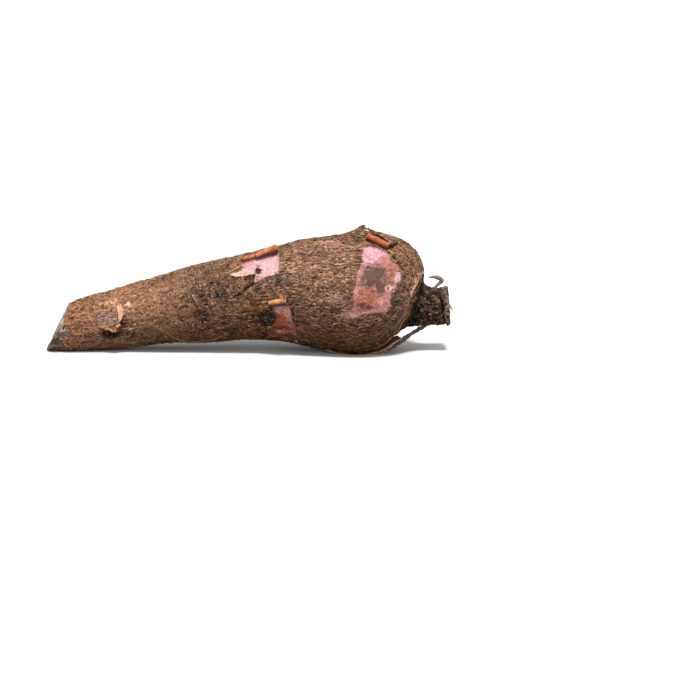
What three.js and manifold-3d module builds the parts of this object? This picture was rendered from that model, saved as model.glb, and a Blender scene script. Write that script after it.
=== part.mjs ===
// A cassava root lying on a flat surface, in millimetres, +Z up.
// It grew as one piece: a swollen body that tapers to a cut tail, a woody neck where it joined
// the stem, and the bits of bark and rootlet that are still attached to it.
// +X runs from the tail to the neck and -Y is the side with the peeled patches.
import * as THREE from "three";
import { mergeVertices } from "three/addons/utils/BufferGeometryUtils.js";
import Module from "manifold-3d";

// ---- driving dimensions -------------------------------------------------------------------
const AROUND = 52; // facets round the root
const ROWS_PER_STATION = 2; // rows of facets between two stations
const SINK = 0.8; // how much of the belly and tail is pressed flat where the root rests
const SWAY = 3; // sideways bend of the centre line
const SWAY_WAVE = 300; // length of one full bend
const BARK = 1.2; // thickness of the bark that has come loose
const ROOTED = 1.2; // how deep an attached bit goes into the body

// Stations along the root: x and z of the centre, radius, and how far the ring there leans
// towards the neck at its top and turns towards it at its front, both in degrees.
const stations = [
  { x: 9, z: 17, radius: 18, lean: 27, turn: 5 },
  { x: 20, z: 17.5, radius: 18, lean: 9, turn: 2 },
  { x: 34, z: 19.5, radius: 18.5, lean: -7, turn: 0 },
  { x: 50, z: 22, radius: 19.5, lean: -11, turn: 0 },
  { x: 68, z: 25.5, radius: 21.5, lean: -11, turn: 0 },
  { x: 90, z: 29.5, radius: 24, lean: -10, turn: 0 },
  { x: 112, z: 33.5, radius: 26.5, lean: -10, turn: 0 },
  { x: 134, z: 37, radius: 28, lean: -8, turn: 0 },
  { x: 156, z: 39.5, radius: 31, lean: -5, turn: 0 },
  { x: 176, z: 40.5, radius: 35, lean: -2, turn: 0 },
  { x: 196, z: 40.5, radius: 38.5, lean: 0, turn: 0 },
  { x: 214, z: 40.5, radius: 41, lean: 4, turn: 0 },
  { x: 228, z: 40, radius: 39, lean: 9, turn: 0 },
  { x: 238, z: 38.5, radius: 35, lean: 14, turn: 0 },
  { x: 245, z: 37, radius: 28.5, lean: 19, turn: 0 },
  { x: 250, z: 35, radius: 20.5, lean: 20, turn: 0 },
  { x: 253, z: 33.5, radius: 15.5, lean: 16, turn: 0 },
  { x: 257, z: 32, radius: 13.5, lean: 8, turn: 0 },
  { x: 265, z: 31, radius: 12.5, lean: 2, turn: 0 },
  { x: 276, z: 31.5, radius: 12.5, lean: -4, turn: 0 },
];
const LAST = stations.length - 1;

// ---- the root's surface -------------------------------------------------------------------
const throughStations = (pick) =>
  new THREE.CatmullRomCurve3(stations.map(pick), false, "catmullrom", 0.5);
const centreLine = throughStations((s) => new THREE.Vector3(s.x, 0, s.z));
const girth = throughStations((s) => new THREE.Vector3(s.radius, s.lean, s.turn));

const radians = THREE.MathUtils.degToRad;

// Low swellings, three and five to the round, that drift along the root.
function swelling(x, angle) {
  return 1 + 0.01 * Math.sin(3 * angle + x / 26) + 0.006 * Math.sin(5 * angle - x / 17 + 1);
}

// The ring at a share 0..1 of the way from tail to neck: its centre, radius and two directions.
function ring(share) {
  const centre = centreLine.getPoint(share);
  centre.y = SWAY * Math.sin((2 * Math.PI * centre.x) / SWAY_WAVE);
  const { x: radius, y: lean, z: turn } = girth.getPoint(share);
  return {
    centre,
    radius,
    front: new THREE.Vector3(Math.sin(radians(turn)), -Math.cos(radians(turn)), 0),
    up: new THREE.Vector3(Math.sin(radians(lean)), 0, Math.cos(radians(lean))),
  };
}

// A point at an angle up from the front of that ring. reach 1 is on the skin and 0 in the
// middle, and lift is a distance outside it.
function ringPoint(share, angle, reach = 1, lift = 0) {
  const { centre, radius, front, up } = ring(share);
  const out = front.multiplyScalar(Math.cos(angle)).addScaledVector(up, Math.sin(angle));
  return centre.addScaledVector(out, reach * radius * swelling(centre.x, angle) + lift);
}

// The share of the way at a distance x from the tail.
function shareAt(x) {
  const next = Math.max(1, stations.findIndex((s, i) => i > 0 && s.x >= x));
  const before = stations[next - 1].x;
  return (next - 1 + (x - before) / (stations[next].x - before)) / LAST;
}

// A point on the skin at x from the tail and so many degrees up from the front.
const skin = (x, degrees, lift = 0) => ringPoint(shareAt(x), radians(degrees), 1, lift);

// ---- solids -------------------------------------------------------------------------------
const wasm = await Module();
wasm.setup();

function solid(geometry) {
  geometry.deleteAttribute("normal");
  geometry.deleteAttribute("uv");
  const merged = mergeVertices(geometry, 1e-4);
  return new wasm.Manifold(new wasm.Mesh({
    numProp: 3,
    vertProperties: new Float32Array(merged.attributes.position.array),
    triVerts: new Uint32Array(merged.index.array),
  }));
}

// Moves every vertex of a geometry by a function of its place.
function reshape(geometry, place) {
  const position = geometry.attributes.position;
  const vertex = new THREE.Vector3();
  for (let i = 0; i < position.count; i += 1) {
    vertex.fromBufferAttribute(position, i);
    position.setXYZ(i, ...place(vertex));
  }
  return geometry;
}

// The body and neck: a unit cylinder whose rings are sent to the rings of the root.
function rootBody() {
  const unit = new THREE.CylinderGeometry(1, 1, 1, AROUND, ROWS_PER_STATION * LAST);
  return reshape(unit, (v) => {
    const share = THREE.MathUtils.clamp(v.y + 0.5, 0, 1);
    return ringPoint(share, Math.atan2(v.x, -v.z), Math.hypot(v.x, v.z));
  });
}

// A thin strip of bark along a route over the skin. Each stop of the route has x, degrees,
// width, and how far the strip stands off the skin there.
function barkStrip(route, thickness = BARK) {
  const steps = 4 * (route.length - 1);
  const spline = (pick) => new THREE.CatmullRomCurve3(route.map(pick));
  const way = spline((s) => new THREE.Vector3(s.x, s.degrees, 0));
  const form = spline((s) => new THREE.Vector3(s.width, s.off, 0));
  const strip = new THREE.BoxGeometry(1, 1, 1, steps, 1, 1);
  return reshape(strip, (v) => {
    const along = THREE.MathUtils.clamp(v.x + 0.5, 0, 1);
    const { x, y: degrees } = way.getPoint(along);
    const { x: width, y: off } = form.getPoint(along);
    const ahead = way.getTangent(along);
    const here = skin(x, degrees);
    const out = skin(x, degrees, 1).sub(here);
    const forward = skin(x + ahead.x * 0.1, degrees + ahead.y * 0.1).sub(here);
    const side = out.clone().cross(forward).normalize();
    const height = off + (v.z > 0 ? thickness : -ROOTED);
    return here.addScaledVector(out, height).addScaledVector(side, v.y * width);
  });
}

// Bark rolled up into a scroll between two places on the skin.
function barkRoll({ from, to, radius, sweep, opening }) {
  const section = new THREE.Shape();
  const start = radians(opening);
  const end = start + radians(sweep);
  section.absarc(0, 0, radius, start, end, false);
  section.absarc(0, 0, radius - BARK, end, start, true);
  const first = skin(from.x, from.degrees, radius - ROOTED);
  const second = skin(to.x, to.degrees, radius - ROOTED);
  const along = second.clone().sub(first);
  const length = along.length();
  along.normalize();
  const out = skin(from.x, from.degrees, 1).sub(skin(from.x, from.degrees));
  const across = out.clone().cross(along).normalize();
  out.crossVectors(along, across);
  const roll = new THREE.ExtrudeGeometry(section, {
    depth: length, bevelEnabled: false, curveSegments: 9,
  });
  return roll.applyMatrix4(new THREE.Matrix4().makeBasis(across, out, along).setPosition(first));
}

// A round rootlet or fibre through the given points.
function rootlet(points, radius) {
  const section = new THREE.Shape();
  section.absarc(0, 0, radius, 0, 2 * Math.PI, false);
  return new THREE.ExtrudeGeometry(section, {
    steps: 4 * points.length,
    bevelEnabled: false,
    curveSegments: 4,
    extrudePath: new THREE.CatmullRomCurve3(points.map((p) => new THREE.Vector3(...p))),
  });
}

// ---- what is attached to the body ---------------------------------------------------------
function rolls() {
  return [
    // over the big peeled patch near the neck
    { from: { x: 217, degrees: 72 }, to: { x: 230, degrees: 59 }, radius: 4, sweep: 250, opening: -60 },
    // two along the top edge of the pointed patch
    { from: { x: 149, degrees: 66 }, to: { x: 162, degrees: 72 }, radius: 3.2, sweep: 250, opening: -60 },
    { from: { x: 139, degrees: 62 }, to: { x: 148, degrees: 64 }, radius: 2.4, sweep: 250, opening: -60 },
    // the stub over the small dark patch, and another below it
    { from: { x: 155, degrees: 0 }, to: { x: 167, degrees: 1 }, radius: 2.4, sweep: 200, opening: -40 },
    { from: { x: 160, degrees: -61 }, to: { x: 172, degrees: -59 }, radius: 1.8, sweep: 200, opening: -40 },
  ].map(barkRoll);
}

function strips() {
  return [
    // bark torn loose down the shoulder and along the underside of the belly
    [
      { x: 247, degrees: -50, width: 5, off: 0.6 },
      { x: 240, degrees: -62, width: 7, off: 1.2 },
      { x: 228, degrees: -68, width: 5, off: 1 },
      { x: 210, degrees: -67, width: 3.5, off: 0.5 },
      { x: 194, degrees: -68, width: 2.5, off: 0.3 },
    ],
    // a lifted flake near the tail
    [
      { x: 38, degrees: 0, width: 10, off: 0.2 },
      { x: 46, degrees: 5, width: 15, off: 0.6 },
      { x: 55, degrees: 6, width: 16, off: 1.3 },
    ],
    // the raised rim of bark beside the big patch
    [
      { x: 205, degrees: 86, width: 12, off: 0.2 },
      { x: 210, degrees: 86, width: 13, off: 1.2 },
      { x: 215, degrees: 86, width: 12, off: 2.8 },
    ],
  ].map((route) => barkStrip(route));
}

function rootlets() {
  const hook = [[267, -2, 41.5], [268, -3, 46], [270, -3, 48.8], [267.5, -3.5, 50.8], [262.5, -4, 50.6]];
  const sideRootlet = [[261, -5, 21], [256, -7, 17], [248, -10, 13], [240, -12, 8.5], [233, -14, 5]];
  return [rootlet(hook, 1.2), rootlet(sideRootlet, 1.2)];
}

// The surface that the root rests on, as a block that presses it flat.
function floorBlock() {
  const block = new THREE.BoxGeometry(400, 200, 40);
  return block.translate(stations[LAST].x / 2, 0, SINK - 20);
}

// ---- the whole root -----------------------------------------------------------------------
function cassavaRoot() {
  const attached = [...rolls(), ...strips(), ...rootlets()];
  let whole = solid(rootBody());
  attached.forEach((bit) => {
    whole = whole.add(solid(bit));
  });
  whole = whole.subtract(solid(floorBlock()));
  const { vertProperties, triVerts } = whole.getMesh();
  const geometry = new THREE.BufferGeometry();
  geometry.setAttribute("position", new THREE.BufferAttribute(vertProperties, 3));
  geometry.setIndex(new THREE.BufferAttribute(triVerts, 1));
  geometry.computeBoundingBox();
  const middle = geometry.boundingBox.getCenter(new THREE.Vector3());
  geometry.translate(-middle.x, -middle.y, -geometry.boundingBox.min.z);
  geometry.computeVertexNormals();
  const bark = new THREE.MeshStandardMaterial({ color: 0x6e5040, roughness: 0.85, metalness: 0 });
  const mesh = new THREE.Mesh(geometry, bark);
  mesh.name = "cassava_root";
  return mesh;
}

const cassava = new THREE.Group();
cassava.add(cassavaRoot());

export default cassava;
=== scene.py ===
"""A cassava root lying on a white surface: rough bark, peeled pink patches, rolled bark, a woody neck.

Shapes are worked out in millimetres from the tail, as the model's dimensions are, and moved into
the frame in metres when they become meshes. +X runs from tail to neck, -Y is the peeled side.
"""
import itertools
import math

import bpy
import mathutils
import numpy as np
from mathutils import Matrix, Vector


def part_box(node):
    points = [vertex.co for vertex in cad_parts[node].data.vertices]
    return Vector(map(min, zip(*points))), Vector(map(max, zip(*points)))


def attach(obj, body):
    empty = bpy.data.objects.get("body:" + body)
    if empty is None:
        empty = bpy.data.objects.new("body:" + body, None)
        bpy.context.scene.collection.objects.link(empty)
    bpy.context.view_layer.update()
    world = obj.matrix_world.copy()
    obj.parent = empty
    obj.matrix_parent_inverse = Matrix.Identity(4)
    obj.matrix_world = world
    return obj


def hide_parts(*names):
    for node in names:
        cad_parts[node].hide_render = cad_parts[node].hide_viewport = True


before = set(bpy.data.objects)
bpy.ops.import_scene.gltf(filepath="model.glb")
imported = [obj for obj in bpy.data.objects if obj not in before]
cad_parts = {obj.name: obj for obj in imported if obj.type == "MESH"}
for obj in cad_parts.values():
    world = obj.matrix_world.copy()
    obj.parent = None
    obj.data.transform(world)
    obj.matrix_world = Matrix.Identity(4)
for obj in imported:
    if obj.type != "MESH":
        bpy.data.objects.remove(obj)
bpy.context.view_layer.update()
NODE = "cassava_root"
BODY = "root"

# ---- the root's own dimensions, in millimetres ------------------------------------------------
SINK = 0.8  # how far the belly and tail are pressed flat
SWAY = 3.0  # how far its middle line bends to each side
SWAY_WAVE = 300.0  # length of one whole bend
PEEL_DEPTH = 1.0  # thickness of the bark around a peeled patch
FISSURE_DEPTH = 1.5  # of the cracks in the bark
FIBRE_ROUND = 32.0  # radius at which the body's fibres keep their true width
NECK_ROUND = 12.0  # the same for the neck
SKIN_END = 257.0  # where the skin's mesh ends, inside the neck
NECK_START, NECK_END = 247.0, 275.0  # the neck's own mesh, which starts under the skin
TAIL_RADIUS = 18.0  # of its broken end
FLARE_AT, GROOVE_AT, COLLAR_AT = 254.5, 270.3, 273.4  # along the neck, from its foot to its end
SCAR_AT, SCAR_DEGREES = 13.4, 5.0  # the ring-shaped scar on the worn tail: along the root, and up its front
ROLL_THICKNESS = 0.7  # of the rolled bark
MILLIMETRE = 0.001  # in the frame's metres

# x and z of the centre, radius, lean and turn of the ring there
STATIONS = np.array([
    (9, 17, 18, 27, 5), (20, 17.5, 18, 9, 2), (34, 19.5, 18.5, -7, 0), (50, 22, 19.5, -11, 0),
    (68, 25.5, 21.5, -11, 0), (90, 29.5, 24, -10, 0), (112, 33.5, 26.5, -10, 0), (134, 37, 28, -8, 0),
    (156, 39.5, 31, -5, 0), (176, 40.5, 35, -2, 0), (196, 40.5, 38.5, 0, 0), (214, 40.5, 41, 4, 0),
    (228, 40, 39, 9, 0), (238, 38.5, 35, 14, 0), (245, 37, 28.5, 19, 0), (250, 35, 20.5, 20, 0),
    (253, 33.5, 15.5, 16, 0), (257, 32, 13.5, 8, 0), (265, 31, 12.5, 2, 0), (276, 31.5, 12.5, -4, 0),
], float)
LAST = len(STATIONS) - 1


# ---- noise -----------------------------------------------------------------------------------
HASH_X, HASH_Y, HASH_Z, HASH_SEED = 374761393, 668265263, 1442695041, 1274126177
LOW_32_BITS, LOW_16_BITS = 0xFFFFFFFF, 0xFFFF
OCTAVE_SHIFT = 17.3  # keeps the octaves' lattices apart


def lattice_noise(points, seed):
    """Values from -1 to 1: a hash at each corner of a unit lattice, blended with a quintic fade."""
    cell = np.floor(points).astype(np.int64)
    part = points - cell
    fade = part**3 * (part * (part * 6 - 15) + 10)
    total = np.zeros(points.shape[:-1])
    for corner in itertools.product((0, 1), repeat=3):
        x, y, z = (cell[..., k] + corner[k] for k in range(3))
        mixed = (x * HASH_X + y * HASH_Y + z * HASH_Z + seed * HASH_SEED) & LOW_32_BITS
        mixed = ((mixed ^ (mixed >> 13)) * HASH_SEED) & LOW_32_BITS
        mixed = ((mixed ^ (mixed >> 16)) * HASH_X) & LOW_32_BITS
        share = np.ones(points.shape[:-1])
        for k in range(3):
            share = share * (fade[..., k] if corner[k] else 1 - fade[..., k])
        total += share * ((mixed & LOW_16_BITS) / (LOW_16_BITS / 2) - 1)
    return total


def cloudy(points, size, seed, octaves=3, roughness=0.5):
    """Octaves of lattice noise summed, the largest of the given size (one number or one per axis)."""
    total, weight, reach = 0.0, 1.0, 0.0
    place = points / np.asarray(size, float)
    for octave in range(octaves):
        total = total + weight * lattice_noise(place * 2**octave + OCTAVE_SHIFT * octave, seed + octave)
        reach += weight
        weight *= roughness
    return total / reach


def ramp(value, low, high):
    """0 below low, 1 above high, and a smooth step between."""
    share = np.clip((value - low) / (high - low), 0, 1)
    return share * share * (3 - 2 * share)


def stacked(*values):
    """Arrays and numbers spread to one shape and joined as the parts of places."""
    return np.stack(np.broadcast_arrays(*values), -1)


# ---- the root's surface -----------------------------------------------------------------------
def spline(stops, way):
    """Catmull-Rom spline: the cubic through each pair of stops whose slope at a stop is half the step
    between its neighbours. way counts stops from 0, and the ends are carried on straight."""
    start = np.minimum(way.astype(int), len(stops) - 2)
    f = (way - start)[..., None]
    ends = np.vstack([2 * stops[0] - stops[1], stops, 2 * stops[-1] - stops[-2]])
    before, here, after, beyond = (ends[start + k] for k in range(4))
    return 0.5 * (
        2 * here + (after - before) * f
        + (2 * before - 5 * here + 4 * after - beyond) * f**2
        + (3 * here - before - 3 * after + beyond) * f**3
    )


def station_values(share):
    """The stations' values at shares 0 to 1 of the way, one column each, on a spline."""
    return spline(STATIONS, np.clip(np.asarray(share, float), 0, 1) * LAST)


def smooth_root(share, angle, reach=1.0):
    """The plain root: at each share of the way a leaning ring round a middle line that sways as a
    sine. Its radius is swollen a little by sines of three and five turns, and multiplied by reach."""
    x, z, radius, lean, turn = np.moveaxis(station_values(share), -1, 0)
    lean, turn = np.radians(lean), np.radians(turn)
    swelling = 1 + 0.01 * np.sin(3 * angle + x / 26) + 0.006 * np.sin(5 * angle - x / 17 + 1)
    distance = reach * radius * swelling
    flat = np.zeros_like(x)
    centre = np.stack([x, SWAY * np.sin(2 * np.pi * x / SWAY_WAVE), z], -1)
    front = np.stack([np.sin(turn), -np.cos(turn), flat], -1)
    up = np.stack([np.sin(lean), flat, np.cos(lean)], -1)
    out = np.cos(angle)[..., None] * front + np.sin(angle)[..., None] * up
    return centre + distance[..., None] * out


def share_at(x):
    """Share of the way along the stations where their x is the one given."""
    return np.interp(x, STATIONS[:, 0], np.arange(LAST + 1) / LAST)


def unit(vectors):
    """The vectors divided by their lengths."""
    return vectors / np.maximum(np.linalg.norm(vectors, axis=-1, keepdims=True), 1e-9)


def surface_at(x, degrees):
    """Point on the plain root, and the directions out, along and round there, by small differences."""
    share, angle = np.broadcast_arrays(share_at(x), np.radians(np.asarray(degrees, float)))
    step = 1e-3
    here = smooth_root(share, angle)
    along = unit(smooth_root(share + step, angle) - smooth_root(share - step, angle))
    round_way = unit(smooth_root(share, angle + step) - smooth_root(share, angle - step))
    return here, unit(np.cross(along, round_way)), along, round_way


# Distance run along the skin from the tail, measured down the line 20 degrees up the front.
LINE_SHARES = np.linspace(0, 1, 1200)
LINE = smooth_root(LINE_SHARES, np.full(LINE_SHARES.shape, math.radians(20)))
LINE_RUNS = np.concatenate([[0], np.cumsum(np.linalg.norm(np.diff(LINE, axis=0), axis=1))])


def run_at(share):
    """Distance run along the skin at shares of the way."""
    return np.interp(share, LINE_SHARES, LINE_RUNS)


def share_of_run(run):
    """Share of the way at distances run along the skin."""
    return np.interp(run, LINE_RUNS, LINE_SHARES)


def flat_place(x, degrees):
    """The skin laid out flat in millimetres: distance run along it, and distance round it."""
    share = share_at(x)
    return np.stack([run_at(share), np.radians(degrees) * station_values(share)[..., 2]], -1)


# ---- moving the millimetres of the part into the frame ----------------------------------------
def frame_shift():
    """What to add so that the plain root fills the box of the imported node."""
    low, high = (np.array(corner) * 1000 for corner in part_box(NODE))
    shares, angles = np.meshgrid(np.linspace(0, 1, 300), np.linspace(0, 2 * np.pi, 361), indexing="ij")
    plain = smooth_root(shares, angles).reshape(-1, 3)
    near, far = plain.min(0), plain.max(0)
    return np.array([high[0] - far[0], (low[1] + high[1] - near[1] - far[1]) / 2, low[2] - SINK])


SHIFT = frame_shift()


def make_piece(name, points, face_arrays, material, values=None, smooth=True):
    """A mesh from points in part millimetres and arrays of faces, with named values at its points."""
    mesh = bpy.data.meshes.new(name)
    placed = (points.reshape(-1, 3) + SHIFT) * MILLIMETRE
    placed[:, 2] = np.maximum(placed[:, 2], 0)
    sizes = np.concatenate([np.full(len(faces), faces.shape[1]) for faces in face_arrays])
    loops = np.concatenate([faces.ravel() for faces in face_arrays])
    mesh.vertices.add(len(placed))
    mesh.vertices.foreach_set("co", placed.astype(np.float32).ravel())
    mesh.loops.add(len(loops))
    mesh.loops.foreach_set("vertex_index", loops.astype(np.int32))
    mesh.polygons.add(len(sizes))
    mesh.polygons.foreach_set("loop_start", (np.cumsum(sizes) - sizes).astype(np.int32))
    mesh.polygons.foreach_set("use_smooth", np.full(len(sizes), smooth))
    mesh.update(calc_edges=True)
    kinds = {1: ("FLOAT", "value"), 3: ("FLOAT_VECTOR", "vector"), 4: ("FLOAT_COLOR", "color")}
    for key, array in (values or {}).items():
        array = np.asarray(array, np.float32).reshape(len(placed), -1)
        kind, field = kinds[array.shape[1]]
        mesh.attributes.new(key, kind, "POINT").data.foreach_set(field, array.ravel())
    mesh.materials.append(material)
    piece = bpy.data.objects.new(name, mesh)
    bpy.context.scene.collection.objects.link(piece)
    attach(piece, BODY)
    return piece


def grid_faces(rows, columns, closed=True):
    """Four-cornered faces of a grid of rows by columns, joined round the columns if closed."""
    i, j = np.meshgrid(np.arange(rows - 1), np.arange(columns if closed else columns - 1), indexing="ij")
    k = (j + 1) % columns
    row, following = i * columns, (i + 1) * columns
    return np.stack([row + j, following + j, following + k, row + k], -1).reshape(-1, 4)


# ---- colour ----------------------------------------------------------------------------------
def tint(red, green, blue):
    """A display colour, 0 to 255 each, as the linear values that shaders use."""
    share = np.array([red, green, blue], float) / 255
    return np.where(share <= 0.04045, share / 12.92, ((share + 0.055) / 1.055) ** 2.4)


BARK = tint(109, 75, 52)


def with_alpha(colours):
    """Colours with a fourth value of 1."""
    return np.concatenate([colours, np.ones(colours.shape[:-1] + (1,))], -1)


# ---- peeled patches, fissures and stains ------------------------------------------------------
# Outlines on the skin: distance from the tail in millimetres, and degrees up from the front.
PATCHES = {
    "shoulder": [
        (214, 57), (217, 59), (221, 58.5), (226, 55), (229.6, 53), (229.6, 48), (232, 44), (234.6, 41),
        (236, 36), (237.5, 32), (238, 27), (235.3, 21), (235.4, 13), (233.5, 9), (235.2, -3), (231, -9),
        (224.5, -9), (219, -11), (214.3, -12), (213, -15), (206.3, -17), (201, -17), (202, -11), (207, -8),
        (209.6, -4), (209, 3), (209.5, 12), (210.5, 21), (211.4, 30), (212.6, 37), (213.2, 46)],
    "pointed": [
        (163, 69), (162.6, 56), (162.4, 31.5), (158, 31), (153, 30), (149, 27), (145, 25), (146.5, 33),
        (146.6, 37), (142, 37), (137, 37), (133, 39), (129.5, 44), (133, 46), (138, 47), (138.5, 58),
        (147, 62), (154, 66)],
    "lower": [
        (155.5, -2), (161, -1), (166.5, -1), (168, -14), (168.7, -26), (170.2, -38), (170.8, -50),
        (170, -62), (161, -64), (150, -60), (149.7, -51), (153.7, -38), (157.4, -24), (156.5, -12)],
    "bruise": [(170.4, -36), (174.7, -31), (177.5, -37), (177, -45), (172, -48)],
}
FISSURES = [  # route, width at its start and at its end
    ([(147.5, 27), (145, 24), (142.7, 22), (140, 18), (137.3, 13.5), (134, 10.5), (131.4, 8.5)], 2.0, 0.7),
    ([(146.8, 34.5), (141, 35.5), (136, 36), (131, 39)], 1.5, 0.7),
    ([(209, 77), (213, 82), (215.5, 92)], 0.6, 0.5),
    ([(230.6, 50), (233.6, 45), (236.2, 41.5), (238.8, 35)], 1.1, 0.5),
    ([(168.8, -2), (169.8, -22), (171, -36)], 0.7, 0.4),
]
# Degrees round, and where the wear of the broken tail ends.
WORN_EDGE = [(-90, 14), (-32, 15), (-12, 16.8), (3, 16.2), (17, 13.4), (30, 11), (44, 9.8), (79, 9.3),
             (120, 9.3), (200, 10.5), (270, 14)]


def edge_distance(place, start, end):
    """Distance from the straight edge between two corners, and the share of the way along it."""
    edge = end - start
    offset = place - start
    share = np.clip((offset @ edge) / (edge @ edge), 0, 1)
    return np.linalg.norm(offset - share[..., None] * edge, axis=-1), share


def outline_distance(place, outline):
    """Signed distance from an outline laid out flat: the nearest edge, and negative inside, where a
    line run to one side crosses the outline an odd number of times."""
    corners = flat_place(*np.array(outline, float).T)
    nearest = np.full(place.shape[:-1], 1e9)
    inside = np.zeros(place.shape[:-1], bool)
    for start, end in zip(corners, np.roll(corners, -1, axis=0)):
        edge = end - start
        nearest = np.minimum(nearest, edge_distance(place, start, end)[0])
        crosses = (start[1] > place[..., 1]) != (end[1] > place[..., 1])
        rise = np.where(abs(edge[1]) < 1e-9, 1e-9, edge[1])
        inside ^= crosses & (place[..., 0] < start[0] + edge[0] * (place[..., 1] - start[1]) / rise)
    return np.where(inside, -nearest, nearest)


def route_distance(place, route):
    """Distance from a route laid out flat, and the share of the way along it."""
    stops = flat_place(*np.array(route, float).T)
    nearest, where = np.full(place.shape[:-1], 1e9), np.zeros(place.shape[:-1])
    for k, (start, end) in enumerate(zip(stops[:-1], stops[1:])):
        away, share = edge_distance(place, start, end)
        where = np.where(away < nearest, (k + share) / (len(stops) - 1), where)
        nearest = np.minimum(nearest, away)
    return nearest, where


def peel_distance(place, ragged):
    """Signed distance from the nearest peeled edge. ragged moves each place a little first."""
    return np.min([outline_distance(place + ragged, outline) for outline in PATCHES.values()], axis=0)


def fissure_depth(place, ragged):
    """1 in the middle of a fissure and 0 outside it, by its tapering width."""
    depth = np.zeros(place.shape[:-1])
    for route, wide, narrow in FISSURES:
        away, where = route_distance(place + ragged, route)
        width = wide + (narrow - wide) * where
        depth = np.maximum(depth, 1 - ramp(away, 0.3 * width, 1.2 * width))
    return depth


def painted(colours, place, marks, wobble):
    """Lays soft-edged ovals of colour over colours. A mark has its middle, its half sizes along
    and round in millimetres, how soft its edge is, its strength and its colour."""
    for x, degrees, half_along, half_round, soft, strength, colour in marks:
        middle = flat_place(x, degrees)
        away = (place - middle) / (half_along, half_round)
        reach = np.hypot(away[..., 0], away[..., 1]) + wobble
        share = strength * (1 - ramp(reach, 1 - soft, 1 + soft))
        colours = colours + share[..., None] * (tint(*colour) - colours)
    return colours


BARK_MARKS = [
    # warm orange-brown tail end, with paler rubbed places
    (25, 10, 42, 40, 0.5, 0.8, (127, 86, 59)), (60, 40, 30, 12, 0.5, 0.5, (140, 99, 72)),
    (52, 20, 12, 6, 0.4, 0.5, (150, 112, 88)), (85, 35, 26, 8, 0.5, 0.4, (136, 98, 76)),
    (61, 29, 2.4, 1.8, 0.4, 0.7, (214, 176, 152)), (48, 45, 7, 2.5, 0.5, 0.4, (206, 160, 128)),
    # greyer, darker middle with two dark spots
    (120, 10, 30, 22, 0.5, 0.55, (92, 64, 44)), (122, 15, 3.4, 2.6, 0.4, 0.9, (44, 36, 32)),
    (107, -9, 4.2, 3, 0.4, 0.85, (42, 33, 28)),
    # olive-brown painted shade in the gap under the lip at the point of the pointed patch
    (142.5, 34, 4.6, 2.6, 0.3, 1.0, (62, 40, 6)), (136, 35, 5, 1.6, 0.4, 0.9, (70, 48, 14)),
    # shadow under the flake near the tail and beside its pale strip
    (46.5, -20, 7, 3.8, 0.4, 1.0, (16, 9, 3)), (55.5, 0, 3, 5, 0.5, 0.8, (50, 32, 18)),
    # rubbed pink places on the top of the belly
    (193, 68.5, 8, 3.4, 0.3, 0.95, (206, 150, 130)), (188, 72, 4, 1.6, 0.4, 0.8, (200, 138, 120)),
    # red-brown belly, grey-purple bloom, and darker bark under the pointed patch and by the neck
    (190, 40, 24, 18, 0.5, 0.6, (134, 96, 76)), (200, 1, 7, 4, 0.5, 0.5, (132, 110, 104)),
    (161.5, 24, 10, 4.5, 0.5, 0.6, (84, 66, 62)), (240, 12, 5, 14, 0.5, 0.45, (96, 74, 66)),
    # stained round spot and the orange halo by it
    (148, -27, 13, 13, 0.5, 0.6, (116, 70, 30)), (151.2, -24, 6.8, 8, 0.25, 0.97, (36, 28, 22)),
    # darker bark by the neck, and painted shade in the crease round the neck's foot
    (237, 4, 4, 5, 0.5, 0.7, (64, 50, 42)), (252, 30, 3.6, 90, 0.4, 0.92, (30, 23, 19)),
    (251, -80, 3.6, 60, 0.4, 0.9, (30, 23, 19)), (251, 160, 3.6, 70, 0.4, 0.9, (30, 23, 19)),
]
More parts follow.
